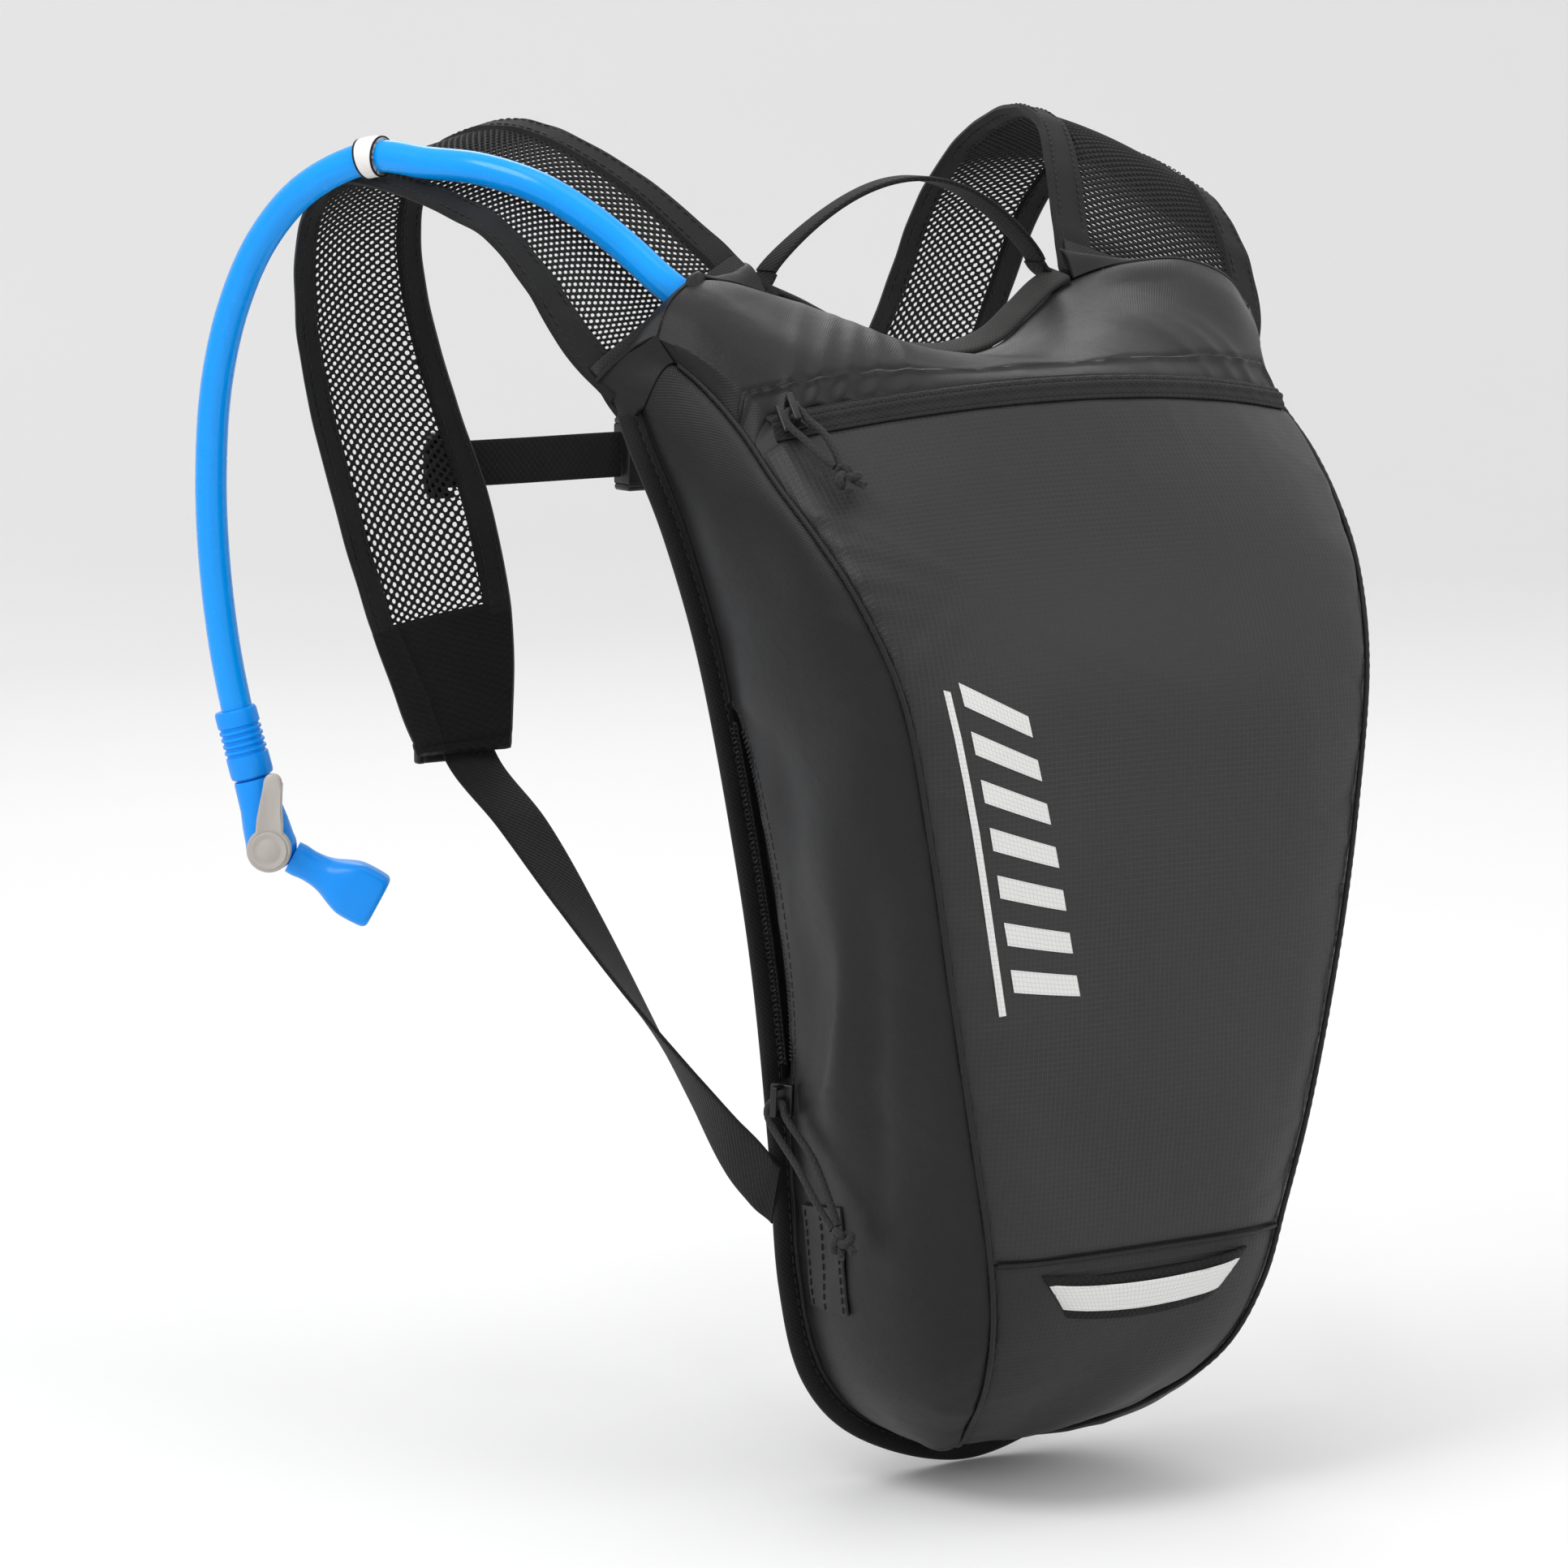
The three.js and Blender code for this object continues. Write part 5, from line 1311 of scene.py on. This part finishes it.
def lever_shape():
    outline = [[7 * math.cos(a), 7 * math.sin(a)] for a in np.radians(np.linspace(128, 412, 40))]
    right = [[4.1, 9.0], [3.7, 13.0], [3.7, 18.0], [3.8, 21.0]]
    tip = [[1 + 2.8 * math.cos(a) - 0.4, 21.4 + 2.7 * math.sin(a)]
           for a in np.radians(np.linspace(0, 180, 14))]
    left = [[-2.6, 18.5], [-3.4, 14.0], [-4.1, 9.6]]
    outline = np.array(outline + right + tip + left)
    turn_ = math.radians(-2)
    outline = outline @ np.array([[math.cos(turn_), math.sin(turn_)], [-math.sin(turn_), math.cos(turn_)]])
    face = hub + facing * 8.5
    centre = np.array([0.0, 3.0])
    layers = []
    for depth, shrink in ((0.0, 0.93), (0.5, 1.0), (3.1, 1.0), (3.8, 0.95), (4.0, 0.86), (3.7, 0.7),
                          (3.6, 0.05)):
        ring = centre + (outline - centre) * shrink
        layers.append(face + level * ring[:, :1] + np.array([0, 0, 1.0]) * ring[:, 1:] + facing * depth)
    disc = [[0.01, 4.6], [3.0, 4.6], [3.4, 4.3], [4.2, 4.15], [4.8, 4.5], [5.6, 4.5], [6.0, 4.1],
            [6.0, 3.4]]
    return joined([loft_parts(np.array(layers)), lathe_parts(disc[::-1], face, facing, 40)])


lever = finish_mesh("shutoff_lever", lever_shape(), LEVER, "valve_lever", ["valve_lever"],
                    sharp=45)

# ------------------------------------------------------------------ lower straps and sternum strap

WEBBING, STERNUM_WEBBING, WEBBING_THICK = 20.0, 15.0, 1.6
lower_route = Spline([
    [78.5, 168.6, 240], [77.5, 167.2, 224], [74, 163.5, 208], [71.5, 139, 190], [71.5, 107, 165.5],
    [73, 70, 138.5], [75, 38, 117.5], [76.5, 17, 104.5], [76.5, 5, 98], [76, 0.5, 95], [74.5, -3.5, 92],
])


def rounded_block(low, high, radius=0.6):
    """A box with rounded edges and corners, as layers of rounded outlines along Z."""
    low, high = np.array(low, float), np.array(high, float)
    size = high - low
    radius = min(radius, *(size / 2.05))
    centre = (low + high) / 2
    layers = []
    corners = np.radians(np.arange(0, 360, 15))
    c, s_ = np.cos(corners), np.sin(corners)
    levels = [(low[2] + radius * (1 - math.cos(a)), radius * math.sin(a))
              for a in np.radians([0, 30, 60, 90])]
    levels += [(high[2] - radius * (1 - math.cos(a)), radius * math.sin(a))
               for a in np.radians([90, 60, 30, 0])]
    for z, bulge in levels:
        half = size[:2] / 2 - radius
        x = centre[0] + np.sign(np.round(c, 6)) * half[0] + c * bulge
        y = centre[1] + np.sign(np.round(s_, 6)) * half[1] + s_ * bulge
        layers.append(np.stack([x, y, np.full(len(c), z)], -1))
    return loft_parts(np.array(layers))


def give_finish(node, material):
    """A carried-over CAD part whose shape is right takes a finished material."""
    obj = bpy.data.objects[node]
    for slot in obj.material_slots:
        slot.material = material
    if not obj.material_slots:
        obj.data.materials.append(material)


for label, side in SIDES:
    u = np.linspace(0, 1, 150)
    centre = lower_route.point(u)
    ahead = unit(lower_route.point(np.minimum(u + 0.01, 1)) - lower_route.point(np.maximum(u - 0.01, 0)))
    twist = np.radians(90 * smoothstep(u, 0.25, 0.78))
    flat = np.array([1.0, 0, 0])
    along = (ahead @ flat)[:, None] * ahead
    turned = np.cross(ahead, np.broadcast_to(flat, ahead.shape))
    across = along + np.cos(twist)[:, None] * (flat - along) + np.sin(twist)[:, None] * turned
    rings = strip_rings(centre, across, rounded_section(WEBBING - 0.3, WEBBING_THICK, 22, 4.0))
    verts, faces, uv = loft_parts(mirror(rings, side))
    if side < 0:
        faces = [face[::-1] for face in faces]
    finish_mesh(f"{label}_lower_strap", (verts, faces, uv), WEB, "pack", [f"{label}_lower_webbing"])
    parts = []
    middle = np.array([side * 77.5, 170.4, 217.0])
    for low, high in (
        ([-13.5, -1.6, -10], [-10.3, 1.6, 10]), ([10.3, -1.6, -10], [13.5, 1.6, 10]),
        ([-11, -1.5, 6.9], [11, 1.5, 9.9]), ([-11, -1.5, -9.9], [11, 1.5, -6.9]),
        ([-11, -1.2, -1.5], [11, 1.2, 1.5]),
    ):
        parts.append(rounded_block(middle + low, middle + high, 0.9))
    finish_mesh(f"{label}_ladder_buckle", joined(parts), BLACK, f"{label}_lock", [f"{label}_ladder_lock"])

STERNUM_HEIGHT, STERNUM_DEPTH = 302.0, 173.2


def chest_strip(name, start, stop, body, node):
    x = np.linspace(start, stop, 60)
    path = np.stack([x, np.full_like(x, STERNUM_DEPTH), np.full_like(x, STERNUM_HEIGHT)], -1)
    path[:, 1] += 0.25 * np.sin(np.linspace(0, np.pi * 3, 60))
    across_ = np.broadcast_to([0.0, 0.0, 1.0], path.shape)
    section = rounded_section(STERNUM_WEBBING - 0.2, WEBBING_THICK, 22, 4.0)
    finish_mesh(name, loft_parts(strip_rings(path, across_, section)), WEB, body, [node])


chest_strip("sternum_strip_left", -85, -9.4, "sternum_strap", "sternum_webbing_left")
chest_strip("sternum_strip_right", 29.4, 85, "sternum_male", "sternum_webbing_right")


def around_hole(low, high, hole_low, hole_high, radius):
    """Walls of a box round a way through it along X, as rounded bars (Z pair, Y pair)."""
    return [
        rounded_block([low[0], low[1], hole_high[2]], high, radius),
        rounded_block(low, [high[0], high[1], hole_low[2]], radius),
        rounded_block([low[0], low[1], hole_low[2] - 0.5], [high[0], hole_low[1], hole_high[2] + 0.5],
                      radius),
        rounded_block([low[0], hole_high[1], hole_low[2] - 0.5], [high[0], high[1], hole_high[2] + 0.5],
                      radius),
    ]


d, h = STERNUM_DEPTH, STERNUM_HEIGHT
parts = around_hole([-8.9, d - 4.5, h - 12], [16, d + 4.5, h + 12], [0, d - 2.7, h - 9.5],
                    [0, d + 2.7, h + 9.5], 1.5)
parts.append(rounded_block([-8.9, d - 4.2, h - 10], [-3.5, d + 4.2, h + 10], 1.2))
finish_mesh("chest_buckle_socket", joined(parts), BLACK, "sternum_strap", ["sternum_buckle_female"])
parts = [rounded_block([17, d - 4.5, h - 12], [29, d + 4.5, h + 12], 1.6)]
for rise_ in (-6.5, 0, 6.5):
    parts.append(rounded_block([0.6, d - 1.9, h + rise_ - 1.9], [18.5, d + 1.9, h + rise_ + 1.9], 0.8))
finish_mesh("chest_buckle_plug", joined(parts), BLACK, "sternum_male", ["sternum_buckle_male"])
for label, side in SIDES:
    x = side * 79
    low, high = [x - 4, d - 2.6, h - 10.5], [x + 4, d + 2.6, h + 10.5]
    parts = around_hole(low, high, [0, d - 2.6, h - 8.5], [0, d + 1.3, h + 8.5], 0.6)
    parts.pop(2)  # open towards the strap
    finish_mesh(f"chest_slide_{label}", joined(parts), BLACK, "sternum_strap", [f"sternum_keeper_{label}"])

# ------------------------------------------------------------------ side pocket


OUT_LEFT = [-1, -0.4, 0]  # out of the left gusset


def gusset_strip(from_mm, to_mm, s0, s1, rows, columns):
    s, k = spread((s0, s1), rows, (0, 1), columns)
    reach = np.linalg.norm(edge_point(s, BINDING_WIDTH) - seam_line.at(s), axis=-1) * 1.12
    at = mix(from_mm(s), to_mm(s), k) / reach
    return gusset_surface(s, at, -1)


def mouth_edge(s):
    return gusset_start(s, -1) * 105


def zip_side(name, from_mm, to_mm, s0, s1, low, high, node, coil_at):
    grid = gusset_strip(from_mm, to_mm, s0, s1, 150, 8)
    n = normals_toward(grid, OUT_LEFT)
    same = agrees(grid, n)
    slab(name, grid, low * same, high * same, ZIP_TAPE, "pack", [node])
    coil_grid = gusset_strip(coil_at, lambda q: coil_at(q) + 1, s0, s1, 700, 3)
    n = normals_toward(coil_grid, OUT_LEFT)[:, 0]
    base = coil_grid[:, 0] + n * (high + 0.6)
    tangent = unit(np.gradient(base, axis=0))
    across_ = np.cross(n, tangent)
    steps = travelled(base)
    turn_ = steps / 1.5 * 2 * np.pi
    coil_ = base + n * (0.75 * np.sin(turn_))[:, None] + across_ * (0.75 * np.cos(turn_))[:, None]
    finish_mesh(f"{name}_coil", loft_parts(tube_rings(coil_, 0.33, 5)), COIL, "pack")


zip_side("side_zip_front_band", lambda s: mouth_edge(s) - 0.5, lambda s: mouth_edge(s) + 4.5,
         POCKET_FROM + 0.02,
         POCKET_TO - 0.02, -1.5, -0.5, "side_zip_tape_front", lambda s: mouth_edge(s) - 0.2)
zip_side("side_zip_rear_band", lambda s: 0.6 + 0 * s, lambda s: 3 + 0 * s, POCKET_FROM + 0.015,
         POCKET_TO - 0.015, 0.2, 1.2,
         "side_zip_tape_rear", lambda s: 2.8 + 0 * s)

# seam line along the pocket's lip
lip_ends = POCKET_FROM - 0.01, POCKET_TO + 0.01
lip_grid = gusset_strip(lambda q: mouth_edge(q) + 8, lambda q: mouth_edge(q) + 9, *lip_ends, 150, 3)
n = normals_toward(lip_grid, OUT_LEFT)[:, 0]
stitches += stitch_parts(lip_grid[:, 0] + n * 2.0, n, 2.0, 1.1, 0.24)

# lining behind the mouth
POCKET_LOW, POCKET_HIGH, POCKET_DEEP, POCKET_LONG = 112.0, 242.0, 15.0, 58.0
steps_ = np.linspace(0.2, 0.98, 700)
inner_edge = edge_point(steps_, BINDING_WIDTH)


def half_width(height):
    return np.interp(height, inner_edge[:, 2], inner_edge[:, 0])


height, k = spread((POCKET_LOW, POCKET_HIGH), 60, (0, 1), 61)
profile = Spline([[3.5, -4.3], [9, -4.4], [15.6, -5.6], [17.0, -12], [17.0, -30], [17.0, -52], [15.6, -60],
                  [9, -61.2], [3.5, -61.3]]).at(k)
grid = np.stack([profile[..., 0] - half_width(height), profile[..., 1], height], -1)
grid[..., 0] += 0.25 * ripple(grid[..., 1], height, 51, 22)
slab("side_pocket_sleeve", grid, -0.4, 0.4, LINING_MATERIAL, "pack", ["side_pocket_lining"])
floor_x = -half_width(POCKET_LOW + 2) + 3 + (POCKET_DEEP - 1) / 2 - 1
x, y = np.meshgrid(np.linspace(-7, 7, 16), np.linspace(-27.5, 27.5, 50), indexing="xy")
grid = np.stack([floor_x + x, -3.8 - POCKET_LONG / 2 + y, POCKET_LOW + 1.5 + 0.2 * ripple(x, y, 52, 14)],
                -1)
slab("side_pocket_base", grid, -0.4, 0.4, LINING_MATERIAL, "pack", ["side_pocket_floor"])

# reinforcement low on the left gusset
grid = gusset_strip(lambda s: 10 + 0 * s, lambda s: 34 + 0 * s, 0.262, 0.345, 50, 40)
n = normals_toward(grid, OUT_LEFT)
same = agrees(grid, n)
edge_gap = np.linspace(10, 34, 40)[None, :]
swell = 1.7 * ripple(grid[..., 1], grid[..., 2], 10, 60) * smoothstep(edge_gap, 2, 25)
grid = grid + n * (0.75 + swell + 0.15 * ripple(grid[..., 1], grid[..., 2], 53, 14))[..., None]
slab("side_patch_cloth", grid, -0.5 * same, 0.5 * same, SIDE, "pack", ["side_patch"])
for column in (3, 18, 36):
    stitches += stitch_parts(grid[:, column] + n[:, column] * 0.7, n[:, column], 2.0, 1.1, 0.24)

# ------------------------------------------------------------------ light loop and reflective dashes

LOOP_TOP, LOOP_FOOT, LOOP_HIGH, LOOP_LOW, LOOP_SAG = 36.5, 30.0, 74.0, 66.0, 2.5
lower_u, lower_v = np.meshgrid(np.linspace(0, 1, 120), np.linspace(0, 1, 120))
lower_cloud = lower_front_surface(lower_u, lower_v)


def front_depth(x, height):
    """Depth of the lower front panel at places on it."""
    flat_x, flat_h = np.ravel(x), np.ravel(height)
    cloud = lower_cloud.reshape(-1, 3)
    out_ = []
    for a, b in zip(flat_x, flat_h):
        out_.append(cloud[np.argmin((cloud[:, 0] - a) ** 2 + (cloud[:, 2] - b) ** 2), 1])
    return np.reshape(out_, np.shape(x))


def loop_band(name, grow, low, high, material, nodes=()):
    k, v = spread((-1, 1), 90, (-grow / 8, 1 + grow / 8), 12)
    x = k * mix(LOOP_TOP, LOOP_FOOT, v)
    height = mix(LOOP_HIGH, LOOP_LOW, v) - LOOP_SAG * (1 - k**2)
    lift = (low + high) / 2
    columns = [np.pad(front_depth(x[:, j], height[:, j]), 4, mode="edge") for j in range(x.shape[1])]
    depth_ = np.stack([np.convolve(column, np.ones(9) / 9, "valid") for column in columns], -1)
    grid = np.stack([x, depth_ - lift + 0.9 * np.abs(k) ** 10 * lift, height], -1)
    thick = high - low
    slab(name, grid, -thick / 2, thick / 2, material, "pack", nodes)


loop_band("light_loop_tape", 3.0, 0.9, 2.0, WEB)
loop_band("light_loop_strip", 0.0, 2.2, 3.1, REFLECTIVE, ["light_loop"])

# a plain column of slanted reflective dashes on the front, in place of the printed mark
corners = np.array([[-79.0, 260], [-49.5, 251], [-28, 157], [-60, 153.5]])
front_cloud = front_grid[15:190].reshape(-1, 3)


def on_front(x, height, lift):
    """Depth of the front panel's cloth at places on it, `lift` in front of it."""
    found = []
    for a, b in zip(np.ravel(x), np.ravel(height)):
        away = (front_cloud[:, 0] - a) ** 2 + (front_cloud[:, 2] - b) ** 2
        near_ones = np.argpartition(away, 8)[:8]
        weight = 1 / (away[near_ones] + 0.05)
        found.append((front_cloud[near_ones, 1] * weight).sum() / weight.sum())
    return np.reshape(found, np.shape(x)) - lift


def in_mark(a, b):
    """Place in the mark's outline: a across it, b down it."""
    top = mix(corners[0], corners[1], a[..., None])
    foot = mix(corners[3], corners[2], a[..., None])
    return mix(top, foot, b[..., None])


def printed_dash(a0, a1, b0, b1, slant):
    k, q = spread((0, 1), 14, (0, 1), 8)
    a = mix(a0, a1, k)
    b = mix(b0, b1, q) + slant * (k - 0.5)
    place = in_mark(a, b)
    grid = np.stack([place[..., 0], on_front(place[..., 0], place[..., 1], 0.22), place[..., 1]], -1)
    for _ in range(2):
        grid[1:-1, :, 1] = (grid[:-2, :, 1] + grid[1:-1, :, 1] * 2 + grid[2:, :, 1]) / 4
    return slab_parts(grid, -0.15, 0.15, 0.3)


dashes = []
for number in range(7):
    b0 = 0.03 + number * 0.138
    dashes.append(printed_dash(0.24, 0.95, b0, b0 + 0.066, 0.05))
dashes.append(printed_dash(0.05, 0.12, 0.04, 0.96, 0.0))
finish_mesh("front_reflective_dashes", joined(dashes), REFLECTIVE, "pack")

# ------------------------------------------------------------------ inside the bag

for node, material in (
    ("reservoir_bag", BAG_FILM), ("reservoir_collar", CAP_BLUE), ("connector_socket", CAP_BLUE),
    ("connector_plug", BLACK), ("connector_button", BLACK), ("divider", LINING_MATERIAL),
    ("back_foam", FOAM),
    ("reservoir_cap", CAP_BLUE), ("cap_handle", CAP_BLUE),
):
    give_finish(node, material)

# ------------------------------------------------------------------ sliders and cord pulls

EYE, KNOT = 5.0, 4.2


def placed(points, at, x, y, z):
    points = np.asarray(points, float)
    return at + points[..., :1] * x + points[..., 1:2] * y + points[..., 2:] * z


def braid(path, radius):
    """A round cord whose surface shows two sets of crossing strands."""
    path = np.asarray(path, float)
    x, y = frames_along(path)
    steps = travelled(path)
    angle = circle(12)
    turn, climb = 4 * angle[None], steps[:, None] * 3.2
    swell = 0.07 * radius * (np.sin(turn + climb) * np.sin(turn - climb))
    r = radius * 0.95 + swell
    ring = x[:, None] * (np.cos(angle) * r)[..., None] + y[:, None] * (np.sin(angle) * r)[..., None]
    return loft_parts(path[:, None] + ring)


def zip_pull(name, at, up, out_, knot_at, bodies):
    side_ = unit(np.cross(up, out_))
    base = [([-3.75, -4.8, 0.1], [3.75, 4.8, 2.1]), ([-1.1, -4.7, 6.6], [1.1, 4.7, 7.5]),
            ([-1.1, -4.7, 1.8], [1.1, -3.4, 7.0]), ([-1.1, 3.4, 1.8], [1.1, 4.7, 7.0])]
    parts = [rounded_block(low, high, 0.55) for low, high in base]
    verts, faces, uv = joined(parts)
    runner = (placed(verts, at, side_, up, out_), faces, uv)
    finish_mesh(f"{name}_runner", runner, METAL, bodies[0], [f"{name}_slider"])
    eye = placed([0, 0, EYE], at, side_, up, out_)
    down = unit(knot_at - eye)
    across_ = unit(np.cross(out_, down))
    length = float(np.linalg.norm(knot_at - eye)) - KNOT

    def half(sgn):
        return [
            eye + down * length + across_ * sgn * 1.0,
            eye + down * (0.8 * length) + across_ * sgn * 2.2,
            eye + down * (0.5 * length) + across_ * sgn * 3.0,
            placed([sgn * 3.0, -4, EYE], at, side_, up, out_),
            placed([sgn * 1.7, -0.4, EYE], at, side_, up, out_),
        ]

    path = Spline(half(1) + half(-1)[::-1]).at(np.linspace(0, 1, 170))
    finish_mesh(f"{name}_cord_loop", braid(path, 1.2), CORD, bodies[1], [f"{name}_pull_cord"])
    t = np.linspace(0, 2 * np.pi, 150, endpoint=True)
    # a trefoil drawn tight, with two cut ends below it
    wide, tall, deep = np.sin(t) + 1.5 * np.sin(2 * t), np.cos(t) - 1.5 * np.cos(2 * t), np.sin(3 * t)
    knot = np.stack([wide, 0.9 * tall, -0.9 * deep], -1)
    knot = knot / 2.5 * (KNOT - 0.6)
    centre_ = knot_at + down * 0.2
    parts = [braid(centre_ + knot[:, :1] * across_ + knot[:, 1:2] * down + knot[:, 2:] * out_, 1.45)]
    for sgn, reach in ((1, 4.6), (-1, 3.8)):
        tail = [knot_at + down * 1.5 + across_ * sgn * 0.8, knot_at + down * 3.4 + across_ * sgn * 1.6,
                knot_at + down * (1.5 + reach) + across_ * sgn * 2.6 + out_ * 0.4]
        parts.append(braid(Spline(tail).at(np.linspace(0, 1, 24)), 1.3))
    finish_mesh(f"{name}_cord_knot", joined(parts), CORD, bodies[1], [f"{name}_pull_knot"])


front_angle = math.radians(-22)
front_out = unit(rotated([0, -0.75, 0.66], zip_axis, front_angle))
front_along = rotated([1.0, 0, 0], zip_axis, front_angle)
front_at = zip_point(-22, 0.5) + 1.4 * front_out
front_knot = front_surface(np.array(0.052), np.array(0.92)) + (KNOT + 2) * front_out
front_up = unit(np.cross(front_out, front_along))
zip_pull("front_zip", front_at, front_up, front_out, front_knot, ["front_slider", "front_pull"])

side_out = np.array([-0.88, -0.47, 0])
side_up = unit(np.array([0.1, 0, 0.995]) + 0.088 * side_out)
side_at = gusset_surface(0.43, 0.05, -1) + 6.1 * side_out
side_knot = gusset_surface(0.324, 0.41, -1) + (KNOT + 4.2) * side_out
zip_pull("side_zip", side_at, side_up, side_out, side_knot, ["side_slider", "side_pull"])

# ------------------------------------------------------------------ stitches and floor

finish_mesh("stitching", joined(stitches), THREAD, "pack", sharp=0)

[tuple(p) for p in metres(tube_curve.at(np.linspace(0, 1, 60)))]

floor_mesh = bpy.data.meshes.new("floor")
low_point = min(cad_box[0][2], 0) - 0.0005
sweep = [(-6.0, low_point), (2.0, low_point)]
sweep += [(2.0 + 1.5 * math.sin(a), low_point + 1.5 * (1 - math.cos(a)))
          for a in np.radians(np.arange(10, 91, 10))]
sweep += [(3.5, 5.0)]
points = [(x, y, z) for y, z in sweep for x in (-6.0, 6.0)]
floor_mesh.from_pydata(points, [],
                       [(2 * i, 2 * i + 1, 2 * i + 3, 2 * i + 2) for i in range(len(sweep) - 1)])
floor_mesh.polygons.foreach_set("use_smooth", [True] * len(floor_mesh.polygons))
backdrop = Shader("backdrop", (0.83, 0.83, 0.83), 0.9)
backdrop.paint(backdrop.blend(backdrop.noise(3, 2), (0.82, 0.82, 0.82), (0.84, 0.84, 0.84)))
floor_mesh.materials.append(backdrop.material)
floor = bpy.data.objects.new("floor", floor_mesh)
bpy.context.scene.collection.objects.link(floor)
